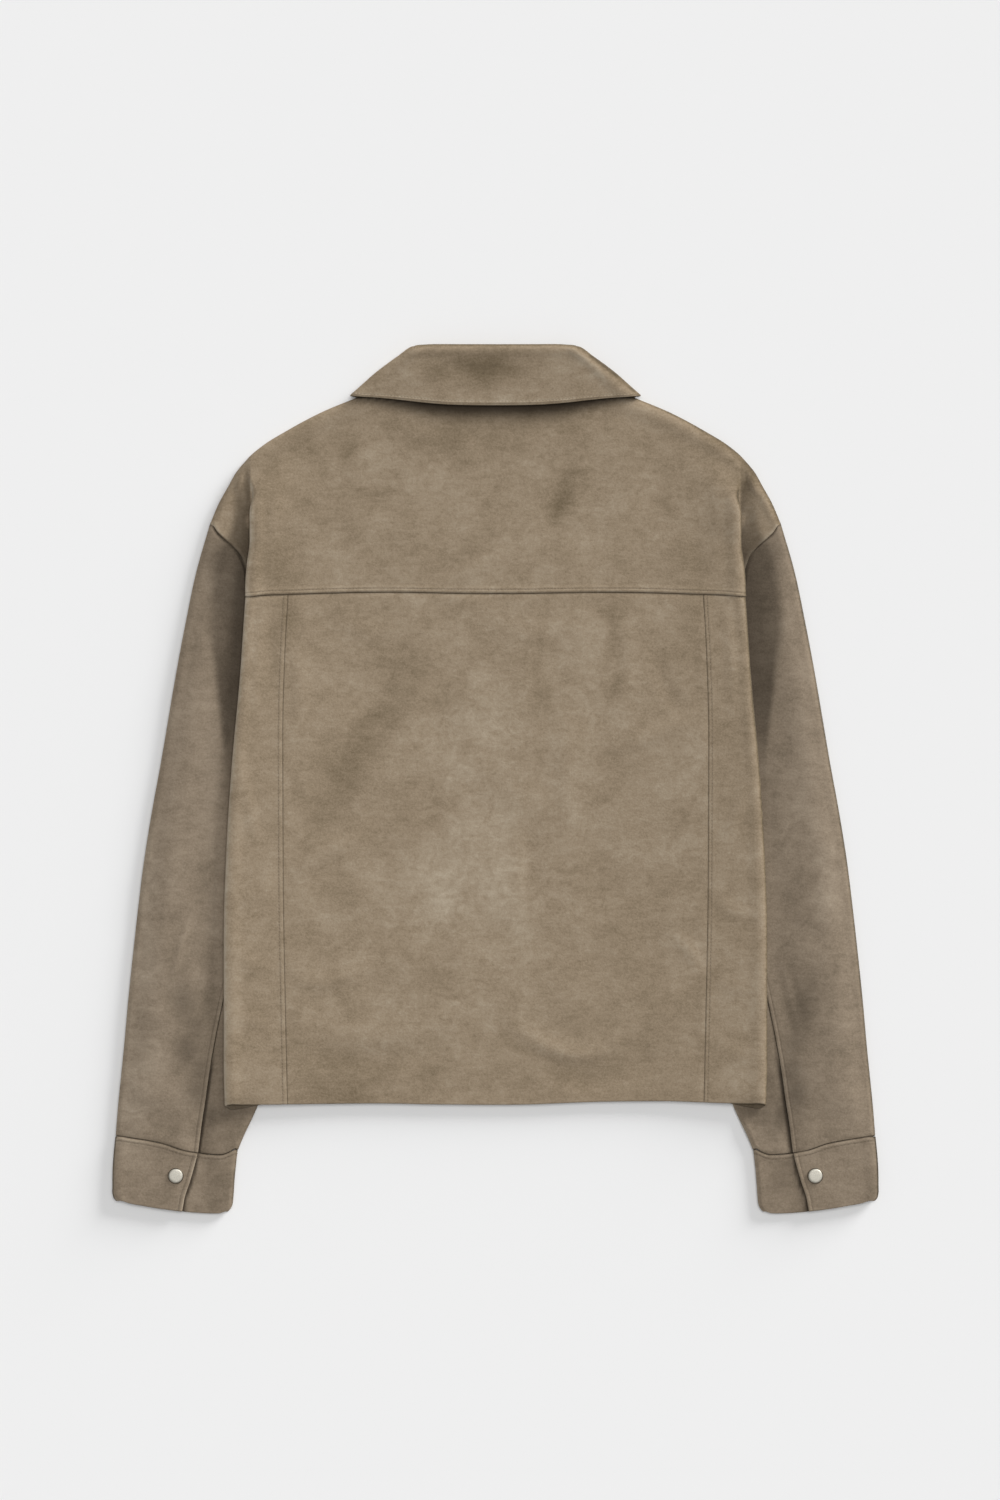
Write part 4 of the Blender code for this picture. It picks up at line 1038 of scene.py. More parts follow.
# the fronts lie on the floor, so their creases only lift them
frontCreases = sizeTable(
    "x0    y0    x1    y1    x2    y2    width lean  height tone",
    (-160, 200,  -130, 150,  -60,  120,  12.0, 0.0,  0.6,   0.05),
    (-170, 0,    -120, -30,  -50,  -20,  14.0, 0.0,  0.5,   0.05),
    (-150, -180, -90,  -210, -40,  -200, 12.0, 0.0,  0.6,   0.05),
    (150,  180,  120,  130,  60,   110,  12.0, 0.0,  0.5,   0.05),
    (165,  -20,  120,  -50,  60,   -40,  14.0, 0.0,  0.5,   0.05),
    (160,  -200, 110,  -222, 50,   -210, 12.0, 0.0,  0.6,   0.05))

# finger marks and brushed patches in the nap, and some painted light: place, half sizes, turn in degrees,
# tone
napMarks = sizeTable(
    "x     y     long  wide  turn  tone",
    (-140, 309,  9,    5,    35,   -0.34),
    (-128, 274,  11,   4,    0,    -0.26),
    (-101, 274,  9,    4,    10,   -0.26),
    (-137, 230,  12,   7,    50,   -0.14),
    (61,   258,  14,   8,    60,   -0.28),
    (66,   272,  20,   9,    62,   -0.14),
    (76,   291,  16,   4,    0,    -0.20),
    (162,  268,  17,   6,    105,  -0.14),
    (-22,  322,  60,   18,   2,    -0.20),
    (-14,  343,  80,   12,   2,    -0.16),
    (-100, 293,  34,   16,   15,   0.08),
    (-26,  270,  30,   14,   10,   0.06),
    (112,  262,  28,   30,   0,    0.06),
    (36,   225,  40,   14,   25,   0.07),
    (-203, 208,  14,   22,   0,    -0.14),
    (190,  205,  14,   22,   0,    -0.12),
    (-196, 154,  7,    22,   0,    -0.24),
    (190,  156,  8,    16,   0,    -0.18),
    (-152, 86,   22,   17,   40,   0.09),
    (-160, 82,   10,   6,    40,   -0.12),
    (-88,  104,  34,   24,   60,   -0.10),
    (-126, 20,   80,   26,   58,   -0.15),
    (-150, -18,  40,   30,   30,   -0.10),
    (-168, -38,  10,   8,    0,    -0.14),
    (-24,  -80,  52,   44,   20,   0.17),
    (-6,   -20,  40,   70,   -10,  0.08),
    (4,    70,   30,   50,   0,    0.05),
    (58,   20,   12,   60,   0,    0.05),
    (-152, -146, 20,   22,   0,    0.11),
    (-186, -170, 8,    12,   0,    0.12),
    (-106, -208, 60,   12,   4,    0.06),
    (-150, -268, 40,   12,   -8,   -0.14),
    (-70,  -284, 70,   14,   0,    -0.06),
    (100,  -20,  10,   6,    20,   -0.22),
    (105,  112,  8,    16,   15,   -0.14),
    (118,  86,   8,    12,   0,    -0.14),
    (150,  106,  24,   10,   -20,  -0.10),
    (140,  -40,  30,   20,   -30,  -0.04),
    (170,  8,    18,   30,   20,   0.08),
    (128,  -112, 34,   24,   -30,  -0.12),
    (62,   -112, 24,   30,   0,    -0.07),
    (96,   -224, 30,   16,   30,   -0.12),
    (150,  -236, 34,   16,   35,   -0.12),
    (76,   -214, 22,   18,   0,    0.06),
    (110,  -282, 80,   14,   4,    -0.08),
    (20,   -262, 50,   10,   0,    0.05),
    (176,  -160, 12,   16,   -20,  0.14),
    (-1,   390,  44,   14,   0,    -0.42),
    (-58,  385,  14,   14,   20,   -0.20),
    (94,   384,  14,   18,   0,    0.20),
    # painted light: a thin pale strip that evens out the shading of a shallow dip along the collar's right
    # edge
    (94,   388,  24,   3.6,  -45,  0.34),
    (105,  387,  25,   4.6,  -42,  -0.20),
    (70,   392,  14,   14,   0,    0.10),
    (-214, 285,  22,   24,   0,    -0.26),
    (234,  285,  14,   18,   0,    -0.32),
    (-213, 170,  16,   80,   0,    -0.17),
    (-190, 186,  16,   46,   0,    -0.10),
    (-22,  50,   40,   40,   0,    0.16),
    (78,   60,   26,   34,   0,    0.18),
    (130,  86,   24,   14,   0,    0.16),
    (189,  36,   14,   38,   0,    0.16),
    (-60,  -96,  56,   40,   0,    0.18),
    (10,   -130, 70,   50,   0,    0.18),
    (-146, -106, 24,   18,   0,    -0.20),
    (-143, -190, 36,   16,   0,    -0.14),
    (125,  -178, 32,   14,   0,    -0.16),
    (-150, -288, 38,   24,   0,    -0.18),
    (92,   -258, 50,   16,   0,    -0.18),
    (8,    -254, 40,   12,   0,    -0.12),
    (150,  -286, 36,   18,   0,    -0.12),
    (225,  -285, 18,   20,   0,    0.18),
    (112,  140,  5,    30,   6,    -0.24),
    (117,  92,   6,    20,   -30,  -0.22),
    (45,   142,  6,    26,   -10,  -0.20),
    (42,   92,   7,    24,   20,   -0.18),
    (-88,  388,  14,   12,   0,    0.12),
    (62,   384,  20,   20,   0,    0.12),
    (0,    362,  70,   6,    0,    0.10),
    (-234, 8,    12,   26,   0,    -0.12),
    (-225, -228, 14,   16,   0,    -0.10),
    (-222, -290, 18,   12,   0,    0.06),
    (236,  -60,  12,   24,   0,    -0.06),
    (224,  -20,  12,   16,   0,    0.08),
    (236,  -226, 12,   30,   0,    0.07),
    (-305, 90,   16,   36,   0,    0.06),
    (-318, 20,   12,   22,   10,   -0.12),
    (-300, -60,  20,   30,   0,    0.05),
    (-290, -100, 14,   50,   6,    -0.06),
    (-268, -228, 9,    30,   10,   -0.20),
    # painted highlight: this row and the row at (-348, -308) are pale strips along the left sleeve's outer
    # fold
    (-333, -165, 12,   90,   4,    0.34),
    (-309, 36,   12,   56,   8,    0.22),
    (-348, -308, 15,   46,   0,    0.40),
    (-322, -262, 18,   30,   0,    0.18),
    # painted light: a pale strip beside the body on the left sleeve, against the body's shadow
    (-263, -130, 9,    80,   2,    0.22),
    (290,  10,   14,   50,   -6,   0.20),
    (312,  -110, 14,   60,   -8,   0.20),
    (-310, -290, 30,   20,   0,    0.05),
    (308,  92,   16,   34,   0,    0.06),
    (306,  40,   10,   14,   0,    -0.10),
    (300,  -64,  20,   30,   0,    0.05),
    (304,  -100, 12,   12,   0,    -0.12),
    (288,  -140, 16,   50,   0,    -0.06),
    (336,  -160, 14,   40,   0,    0.05),
    (318,  -286, 24,   20,   0,    0.05),
    # painted highlight: these two rows are pale strips along the left sleeve's outer fold
    (-327, -88,  10,   48,   3,    0.28),
    (-350, -222, 8,    34,   4,    0.26),
    (316,  -104, 12,   28,   0,    0.22),
    (-260, -390, 16,   22,   0,    -0.26),
    (359,  -388, 8,    24,   0,    -0.20),
    (-130, -304, 90,   7,    0,    -0.16),
    (130,  -303, 90,   7,    0,    -0.12),
    (96,   124,  80,   26,   0,    0.09),
    (156,  -62,  44,   30,   0,    0.12),
    (-160, 316,  50,   20,   20,   -0.12),
    (160,  325,  60,   16,   -20,  -0.08),
    (28,   312,  14,   10,   0,    -0.14),
    (-312, -284, 14,   16,   0,    -0.16),
    (-170, -292, 24,   12,   0,    -0.15),
    (-36,  -236, 22,   24,   0,    0.15),
    (8,    -52,  26,   26,   0,    0.08))

# shade down in the sleeves' hollows, in the same way
hollows = sizeTable(
    "x     y     long  wide  turn  shade",
    (-266, 206,  11,   22,   0,    0.36),
    (266,  216,  9,    18,   0,    0.28),
    (-262, 178,  10,   18,   0,    0.22),
    (-296, -212, 12,   22,   8,    0.36),
    (-287, -240, 11,   26,   14,   0.30),
    (-292, -258, 12,   16,   0,    0.46),
    (-281, -276, 12,   20,   6,    0.36),
    (-283, -297, 12,   16,   0,    0.42),
    (-271, -322, 9,    16,   6,    0.44),
    (-250, -318, 24,   13,   20,   0.34),
    (-262, -338, 10,   16,   0,    0.12),
    (-271, -368, 9,    26,   8,    0.16),
    (294,  -216, 11,   24,   -8,   0.30),
    (284,  -250, 11,   26,   -14,  0.26),
    (281,  -280, 12,   20,   0,    0.32),
    (285,  -300, 12,   18,   0,    0.42),
    (271,  -322, 10,   16,   -6,   0.46),
    (250,  -318, 24,   13,   -20,  0.34),
    (264,  -210, 8,    42,   0,    0.16),
    (262,  -10,  7,    70,   0,    0.10),
    (271,  -376, 9,    22,   -8,   0.12))

# painted shade in the pinched valley on the sleeve beside the body: how far out it is dark, how softly that
# ends, how dark the painted shade is beside the body, and what share of that is left at its outer side
valley = sizeTable(
    "y      width soft  crush far",
    (330,   1.0,  3.0,  0.0,  1.0),
    (300,   6.0,  5.0,  0.16, 1.0),
    (287,   9.0,  7.0,  0.30, 0.75),
    (276,   10.0, 8.0,  0.42, 0.72),
    (262,   10.0, 9.0,  0.48, 0.72),
    (240,   12.0, 10.0, 0.60, 0.80),
    (217,   22.0, 12.0, 0.70, 0.72),
    (173,   26.0, 12.0, 0.72, 0.66),
    (150,   26.0, 12.0, 0.70, 0.66),
    (110,   20.0, 10.0, 0.69, 0.85),
    (75,    14.5, 8.0,  0.66, 0.96),
    (46,    9.0,  6.0,  0.58, 0.96),
    (14,    4.0,  5.0,  0.32, 1.0),
    (-60,   2.0,  4.0,  0.06, 1.0),
    (-200,  2.0,  4.0,  0.06, 1.0),
    (-300,  3.0,  5.0,  0.14, 1.0),
    (-345,  3.0,  4.0,  0.0,  1.0))


def creaseField(x, y, rows):
    # height and nap tone that a table of creases gives at plan points
    height, tone = np.zeros_like(x), np.zeros_like(x)
    share, reachShare, endFade = np.linspace(0, 1, 29)[:, None], 3.5, 0.6
    for k in range(len(rows["x0"])):
        start, bend, end = (np.array([rows[f"x{i}"][k], rows[f"y{i}"][k]], float) for i in range(3))
        pull = 2 * bend - (start + end) / 2
        line = (1 - share) ** 2 * start + 2 * share * (1 - share) * pull + share ** 2 * end
        width, lean = rows["width"][k], rows["lean"][k]
        low, high = line.min(axis=0) - reachShare * width, line.max(axis=0) + reachShare * width
        near = (x > low[0]) & (x < high[0]) & (y > low[1]) & (y < high[1])
        if not near.any():
            continue
        offset = np.stack([x[near], y[near]], axis=-1)[:, None] - line[None]
        reach = np.linalg.norm(offset, axis=2)
        nearest = reach.argmin(axis=1)
        picked = np.arange(len(nearest))
        heading = np.gradient(line, axis=0)[nearest]
        to = offset[picked, nearest]
        side = np.sign(heading[:, 0] * to[:, 1] - heading[:, 1] * to[:, 0])
        fade = np.sin(np.pi * np.clip(share[nearest, 0], 0.04, 0.96)) ** endFade
        shape = hump(reach[picked, nearest] / (width * (1 + side * lean))) * fade
        height[near] += rows["height"][k] * shape
        tone[near] += rows["tone"][k] * shape
    return height, tone


def patches(x, y, rows, column):
    # how strongly each soft oval patch of a table counts at plan points
    for k in range(len(rows["x"])):
        turn = math.radians(rows["turn"][k])
        dx, dy = x - rows["x"][k], y - rows["y"][k]
        along = (dx * math.cos(turn) + dy * math.sin(turn)) / rows["long"][k]
        across = (dy * math.cos(turn) - dx * math.sin(turn)) / rows["wide"][k]
        yield rows[column][k] * hump(np.hypot(along, across))


def markTone(x, y):
    return sum(patches(x, y, napMarks, "tone"))


def hollowShade(x, y):
    return np.maximum.reduce(list(patches(x, y, hollows, "shade")))


def valleyPaintedShade(x, y):
    # painted shade in the valley between sleeve and body
    beyond = np.abs(x) - read(sideFold, "x", y)
    width, far = read(valley, "width", y), read(valley, "far", y)
    deep = far + (1 - far) * (1 - ease(beyond / width))
    ending = 1 - ease((beyond - width) / read(valley, "soft", y))
    underFold = -4.0
    return read(valley, "crush", y) * deep * ending * (beyond > underFold)


def swell(x, y, size, seed):
    # slow uneven waves, so that no panel lies dead flat
    chance = np.random.default_rng(seed)
    total = np.zeros_like(x)
    for _ in range(7):
        length = chance.uniform(size * 0.6, size * 1.8)
        heading, phase = chance.uniform(0, np.pi), chance.uniform(0, 2 * np.pi)
        total += np.sin((x * math.cos(heading) + y * math.sin(heading)) * 2 * np.pi / length + phase)
    return total / 7


# cloth shells
clothLook = {
    "thickness": 1.7,             # the shell; the solids' wall is 2
    "rim": 0.9,                   # how far in from an edge the cloth is rounded off
    "tuck": 0.7,                  # how far a cut runs on under its neighbour
    "farTuck": 3.0,
    "farDrop": 1.3,
    "waveSizes": (80.0, 17.0),    # slow waves in the cloth, and short ones in them
    "shortWaves": 0.12,           # height of the short ones, as a share of the slow ones
    "toneWaves": (60.0, 0.12),    # size and strength of the nap's slow change
    "calmRim": (1.0, 12.0),       # waves and creases begin this far in from an edge, and grow over this
    "rimCrease": 0.35,            # share of a crease that still reaches the edge
    "facingUp": (0.25, 0.6),      # slope from which cloth counts as facing up or down
    "underShare": 0.6,            # how much of the relief lifts cloth that faces down
    "keyLightSide": (0.72, 0.69),      # the side the key light comes from, in plan
    "paintedKeyTone": (0.95, 0.72),    # painted light and shade: folds turned to that side are painted darker, and those turned away paler
    "paintedKeyFrom": (0.16, 0.6),     # slope at which that starts, and how much more brings it in full
}
seamLook = {
    "softSeam": 0.42,             # share of the tones at a seam pressed open
    "softRelief": 0.20,           # and share of its height
    # bands along a seam or edge: strength, distance from it and width
    "stitchSink": (0.45, 3.9, 0.9),
    "stitchedDip": (0.36, 0.0, 1.5),
    "plainDip": (0.6, 0.0, 2.6),
    "besidePlain": (0.22, 6.0, 6.0),
    "armholeDip": (0.6, 3.0, 2.6),
    "turnedSink": (0.45, 3.9, 0.8),
    "stitchShade": (0.30, 3.9, 0.6),
    "hemWear": (0.08, 0.0, 1.7),
    "turnedWear": (0.28, 0.0, 1.7),
    "lappedWear": (0.24, 1.2, 1.6),
    "lipHighlight": ((0.36, 3.9, 1.4), (0.2, 0.9, 0.5)),    # painted highlight on a ridge along the collar's edge and on the thin lip of the under layer that shows below it
    "lipShade": (0.46, 2.1, 0.75),
    "armholeShade": (0.74, 2.4, 1.3),
    "seamShade": (0.92, 0.0, 0.85),                    # how dark it is down in a seam
    # paler nap along the two ridges beside a topstitched seam
    "ridgePaler": ((0.12, 2.3, 0.9), (0.084, 5.6, 1.0)),
    # raised strips along it: height, how far it rises, where it ends and how far it falls
    "allowance": (0.6, 1.6, 3.6, 3.2),                 # seam allowances under the topstitched side
    "turnedEdge": (0.35, 1.2, 3.4, 2.4),
    "lappedEdge": (0.3, 1.2, 2.6, 3.0),
}


def band(d, key, k=None):
    strength, at, width = seamLook[key] if k is None else seamLook[key][k]
    return strength * hump((d - at) / width)


def strip(d, key):
    height, rise, end, fall = seamLook[key]
    return height * ease(d / rise) * (1 - ease((d - end) / fall))


def seamRelief(d, run, kind, seed):
    # height beside a seam, by the distance from it
    wander = swell(run, d * 0, 34.0, seed)
    strength = seamLook["softRelief"] if kind.startswith("soft") else 1.0
    if kind in ("stitched", "softStitched"):
        return strength * (strip(d, "allowance") * (1 + 0.5 * wander)
                           - band(d, "stitchSink") * (1 + 0.4 * wander) - band(d, "stitchedDip"))
    if kind in ("plain", "softPlain"):
        return -strength * band(d, "plainDip") * (1 + 0.6 * wander) + band(d, "besidePlain") * wander
    if kind == "under":
        return -band(d, "armholeDip") * (1 + 0.6 * wander)
    if kind in ("turned", "lipped"):
        return strip(d, "turnedEdge") - band(d, "turnedSink")
    if kind == "lapped":
        return strip(d, "lappedEdge") * (1 + 0.5 * wander)
    return 0.0 * d


def seamTone(d, run, kind, seed):
    # nap tone, and darkness, beside a seam or a free edge
    uneven = 1 + 0.5 * swell(run, d * 0, 22.0, seed + 3)
    stitchRow = band(d, "stitchShade") * uneven
    none = 0.0 * d
    if kind == "hem":
        return band(d, "hemWear"), none
    if kind == "turned":
        return band(d, "turnedWear") * uneven, stitchRow
    if kind == "lapped":
        return band(d, "lappedWear") * uneven, none
    if kind == "lipped":
        return (band(d, "lipHighlight", 0) + band(d, "lipHighlight", 1)) * uneven, band(d, "lipShade") * uneven
    if kind == "under":
        return none, band(d, "armholeShade") * uneven
    share = seamLook["softSeam"] if kind.startswith("soft") else 1.0
    dark = share * band(d, "seamShade") * np.clip(uneven, 0.6, 1.2)
    if kind not in ("stitched", "softStitched"):
        return none, dark
    ridges = band(d, "ridgePaler", 0) + band(d, "ridgePaler", 1)
    return share * ridges * uneven, dark + stitchRow * (0.5 + 0.5 * share)


def dress(name, grid, surface, spacing, kinds, creases=None, waves=0.3, lift=None, over=None,
          anchors=((), ()), hole=None, side=1, paintedShade=None, shutBelow=True, paintedLightTone=None):
    # a coarse grid made fine, given its seams, creases and nap, and turned into a closed shell;
    # kinds says what stands at its first row, last row, first column and last column
    look = clothLook
    near = [rimLines if kind == "hem" else seamLines for kind in kinds]
    fine, rowCounts = refine(grid, 0, spacing, near[:2], anchors[0])
    fine, columnCounts = refine(fine, 1, spacing, near[2:], anchors[1])
    for kind, axis, end in zip(kinds, (0, 0, 1, 1), (0, -1, 0, -1)):
        if kind in ("plain", "softPlain"):
            tuckUnder(np.moveaxis(fine, axis, 0), end, look["tuck"], 0.0)
        if kind == "under":
            tuckUnder(np.moveaxis(fine, axis, 0), end, look["farTuck"], look["farDrop"])
    fine = mirrored(fine, side)
    normal = facing(fine)
    outerSign = np.sign(normal[..., 2].flat[np.argmax(fine[..., 2])]) if over is None else over
    normal = normal * outerSign
    steep, more = look["facingUp"]
    up, down = (ease((way * normal[..., 2] - steep) / more) for way in (1, -1))
    x, y = fine[..., 0], fine[..., 1]
    rows, columns = x.shape
    height, tone = creaseField(x, y, creases) if creases else (0 * x, 0 * x)
    seed = sum(ord(c) for c in name)
    rims = (*spanFrom(fine, 0), *spanFrom(fine, 1))
    calm, grow = look["calmRim"]
    inside = ease((np.minimum.reduce(rims) - calm) / grow)
    height = height * (look["rimCrease"] + (1 - look["rimCrease"]) * inside)
    slow, short = look["waveSizes"]
    height = height + waves * swell(x, y, slow, seed) * inside
    height = height + look["shortWaves"] * waves * swell(x, y, short, seed + 5) * inside
    # painted shade: what the given function paints, with the seams' dark lines and the hollows' painted shade
    # added below
    crush = 0 * x if paintedShade is None else paintedShade(x, y, fine[..., 2]) * (1 if shutBelow else up)
    for k, (d, kind) in enumerate(zip(rims, kinds)):
        run = rims[2] if k < 2 else rims[0]
        height = height + seamRelief(d, run, kind, seed + k)
        pale, dark = seamTone(d, run, kind, seed + k)
        tone = tone + pale
        crush = np.maximum(crush, dark)
    if lift is not None:
        height = height + lift(x, y)
    fine[..., 2] += height * up + np.maximum(height, 0) * down * look["underShare"]
    size, strength = look["toneWaves"]
    tone = tone + markTone(x, y) * up + strength * swell(x, y, size, seed + 9)
    # painted light that the given function adds to the nap
    if paintedLightTone is not None:
        tone = tone + paintedLightTone(x, y, fine[..., 2])
    hollow = hollowShade(x, y) * up
    crush = crush + hollow * (1 - crush)
    kept = np.ones((rows - 1, columns - 1), bool)
    if hole is not None:
        kept = hole(rows, columns, rowCounts, columnCounts, [len(n) - 1 for n in near])
    normal = facing(fine) * outerSign
    # painted light and shade: slopes turned toward the key light are painted darker, those turned away paler
    lean = normal[..., 0] * look["keyLightSide"][0] + normal[..., 1] * look["keyLightSide"][1]
    start, more = look["paintedKeyFrom"]
    darker, paler = look["paintedKeyTone"]
    tone = tone - np.where(lean > 0, darker, -paler) * ease((np.abs(lean) - start) / more)
    piece, outerFace = shell(name, fine, normal, kept, surface, tone, crush)
    print(name, len(piece.data.polygons), "faces")
    return piece, outerFace, normal


def tuckUnder(lines, end, reach, drop):
    # the edge of a cut runs on a little, so that the seam beside it is closed
    order = range(4) if end == 0 else range(-1, -5, -1)
    ahead = lines[order[0]] - lines[order[3]]
    ahead = ahead / np.maximum(np.linalg.norm(ahead, axis=1), 1e-6)[:, None]
    for line, share in zip(order, (1.0, 0.8, 0.5, 0.2)):
        lines[line] += ahead * reach * share
        lines[line][..., 2] -= drop * share


def shell(name, middle, normal, kept, surface, tone, crush):
    # the kept cells, made as thick as the cloth and rounded at every rim
    rows, columns = middle.shape[:2]
    index = np.arange(rows * columns).reshape(rows, columns)
    a, b = index[:-1, :-1][kept], index[:-1, 1:][kept]
    c, d = index[1:, 1:][kept], index[1:, :-1][kept]
    rings = np.stack([a, b, c, d], axis=1)
    edges = np.concatenate([rings[:, [0, 1]], rings[:, [1, 2]], rings[:, [2, 3]], rings[:, [3, 0]]])
    forward = set(map(tuple, edges))
    rim = [(s, e) for s, e in map(tuple, edges) if (e, s) not in forward]
    points = middle.reshape(-1, 3)
    tree = kdtree.KDTree(len(rim))
    for i, (s, _) in enumerate(rim):
        tree.insert(points[s], i)
    tree.balance()
    used = np.unique(rings)
    away = np.array([tree.find(points[i])[2] for i in used])
    half = np.full(len(points), clothLook["thickness"] / 2)
    thinnest = 0.985                  # share of the thickness, squared, that a rim loses
    half[used] *= np.sqrt(1 - (1 - np.minimum(away / clothLook["rim"], 1)) ** 2 * thinnest)
    flat = normal.reshape(-1, 3)
    outerFace = points + flat * half[:, None]
    innerFace = points - flat * half[:, None]
    floor = 0.02                      # nothing lies lower than this
    outerFace[:, 2] = np.maximum(outerFace[:, 2], floor)
    innerFace[:, 2] = np.maximum(innerFace[:, 2], floor)
    place = np.full(len(points), -1)
    place[used] = np.arange(len(used))
    count = len(used)
    made = np.concatenate([outerFace[used], innerFace[used]])
    ring = place[rings]
    rimPairs = place[np.array(rim)]
    side = np.stack([rimPairs[:, 0], rimPairs[:, 1], rimPairs[:, 1] + count, rimPairs[:, 0] + count], axis=1)
    faces = np.concatenate([ring[:, ::-1], ring + count, side])
    grain = np.cross(points[rings[:, 1]] - points[rings[:, 0]], points[rings[:, 3]] - points[rings[:, 0]])
    if (grain * flat[rings[:, 0]]).sum() > 0:
        faces = faces[:, ::-1]
    mesh = bpy.data.meshes.new(name)
    mesh.from_pydata((made * metre).tolist(), [], faces.tolist())
    mesh.shade_smooth()
    mesh.materials.append(surface)
    for key, values in (("nap", tone), ("shade", crush)):
        field = mesh.attributes.new(key, "FLOAT", "POINT")
        listed = np.broadcast_to(values, (rows, columns)).reshape(-1)[used]
        field.data.foreach_set("value", np.concatenate([listed, listed]).astype(np.float32))
    piece = bpy.data.objects.new(name, mesh)
    bpy.context.scene.collection.objects.link(piece)
    return piece, outerFace.reshape(rows, columns, 3)


def closedPiece(name, points, faces, surface):
    # an object from points in millimetres, with its faces turned outward
    mesh = bpy.data.meshes.new(name)
    mesh.from_pydata((np.array(points) * metre).tolist(), [], faces)
    body = bmesh.new()
    body.from_mesh(mesh)
    bmesh.ops.recalc_face_normals(body, faces=body.faces)
    body.to_mesh(mesh)
    body.free()
    mesh.shade_smooth()
    mesh.materials.append(surface)
    made = bpy.data.objects.new(name, mesh)
    bpy.context.scene.collection.objects.link(made)
    return made


# sewing
threadLook = {
    "pitch": 3.2,                 # start of one stitch to the next
    "length": 2.3,                # what shows of a stitch
    "radius": 0.24,
    "bury": 0.30,                 # how deep its ends go into the cloth
    "sides": 6,
    # rings along a stitch: place from end to end, girth, and height from its ends in the cloth to its middle
    "rings": ((-1.0, 0.3, -1.0), (-0.72, 0.85, -0.35), (-0.3, 1.0, 0.25), (0.3, 1.0, 0.25),
              (0.72, 0.85, -0.35), (1.0, 0.3, -1.0)),
}


def stitchRun(name, runs):
    # every run is a line of points on the cloth's outer face with the normals there
    places, girths, heights = np.array(threadLook["rings"]).T
    along, girth = places * threadLook["length"] / 2, girths * threadLook["radius"]
    depth = heights * threadLook["bury"]
    sides, pitch, points, faces = threadLook["sides"], threadLook["pitch"], [], []
    angles = np.arange(sides) / sides * 2 * np.pi
    for line, normals in runs:
        steps = np.maximum(np.linalg.norm(np.diff(line, axis=0), axis=1), 1e-6)
        knots = np.concatenate([[0.0], np.cumsum(steps)])
        for at in np.arange(pitch * 0.6, knots[-1] - pitch * 0.5, pitch):
            centre, ahead, rise = (np.array([np.interp(place, knots, data[:, i]) for i in range(3)])
                                   for place, data in ((at, line), (at + 0.5, line), (at, normals)))
            heading = (ahead - centre) / max(np.linalg.norm(ahead - centre), 1e-9)
            rise = rise / max(np.linalg.norm(rise), 1e-9)
            across = np.cross(rise, heading)
            base = len(points)
            for step, radius, height in zip(along, girth, depth):
                for angle in angles:
                    points.append(centre + heading * step + rise * (height + radius * math.sin(angle))
                                  + across * radius * math.cos(angle))
            for ring in range(len(along) - 1):
                for k in range(sides):
                    after = (k + 1) % sides
                    low, high = base + ring * sides, base + (ring + 1) * sides
                    faces.append((low + k, low + after, high + after, high + k))
            faces.append(tuple(base + k for k in reversed(range(sides))))
            faces.append(tuple(base + (len(along) - 1) * sides + k for k in range(sides)))
    points = np.array(points)
    points[:, 2] = np.maximum(points[:, 2], 0.0)
    made = closedPiece(name, points, faces, spunThread)
    print(name, len(made.data.polygons), "faces")
    return made


# press snaps
snapLook = {
    "cap": 13.4,
    "rim": 15.0,
    "sides": 56,
    "sharp": 38,                  # degrees between two faces that keep an edge between them
    "frontCount": 6,
    "firstFront": 259.0,
    "frontSpacing": 107.0,
    "seat": (1.9, 0.4, 2.6),      # lift of the cloth over a front snap, clearance round it, and slope
    "cuffPlace": (303.8, -377.3),
    "cuffBase": 8.2,
}


def turnedPart(name, profile, centre, surface):
    # a solid of revolution; profile rows are radius and height from the cloth
    sides, points, faces = snapLook["sides"], [], []
    for radius, height in profile:
        for k in range(sides):
            angle = 2 * math.pi * k / sides
            points.append((radius * math.cos(angle), radius * math.sin(angle), height))
    for i in range(len(profile) - 1):
        for k in range(sides):
            after = (k + 1) % sides
            faces.append((i * sides + k, i * sides + after, (i + 1) * sides + after, (i + 1) * sides + k))
    faces.append(tuple(range(sides)))
    faces.append(tuple(range((len(profile) - 1) * sides, len(profile) * sides)))
    made = closedPiece(name, np.array(points) + np.array(centre), faces, surface)
    made.data.set_sharp_from_angle(angle=math.radians(snapLook["sharp"]))
    return made


# the pieces of the jacket
# how the sleeves swell where they lie free, and sink beside the vent
sleevePuff = {
    "rise": 2.2,
    "fromFold": 34.0,             # grows over this much from the outer fold
    "fromBody": 22.0,
    "bodyRun": 42.0,
    "low": (-330, 40),            # ends, and over how much it grows from each
    "high": (236, 50),
    "vent": (2.0, 6.5, -236, 44),    # depth, width, where it begins, over how much
}
ventLine = sizeTable(
    "y     x",
    (-180, 252.3),
    (-199, 256.2),
    (-241, 265),
    (-275, 271.3),
    (-308, 275.9),
    (-332, 279.5),
    (-353, 282.5))
lapLine = sizeTable(
    "y     x",
    (-354, 283.2),
    (-366, 286.3),
    (-378, 289.0),
    (-389, 292.4),
    (-400, 296.4),
    (-411, 297.6))


def fit(piece, node=None):
    # it moves with the jacket's one body, and may stand for a solid
    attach(piece, "root")
    if node:
        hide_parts(node)


def settle(piece, node, sewn=()):
    fit(piece, node)
    for part in sewn:
        fit(part)


def puff(x, y):
    fromFold = ease((read(sleeveOuter, "x", y) - np.abs(x)) / sleevePuff["fromFold"])
    fromBody = ease((np.abs(x) - read(sideFold, "x", y) - sleevePuff["fromBody"]) / sleevePuff["bodyRun"])
    (low, lowRun), (high, highRun) = sleevePuff["low"], sleevePuff["high"]
    return sleevePuff["rise"] * fromFold * fromBody * ease((y - low) / lowRun) * ease((high - y) / highRun)


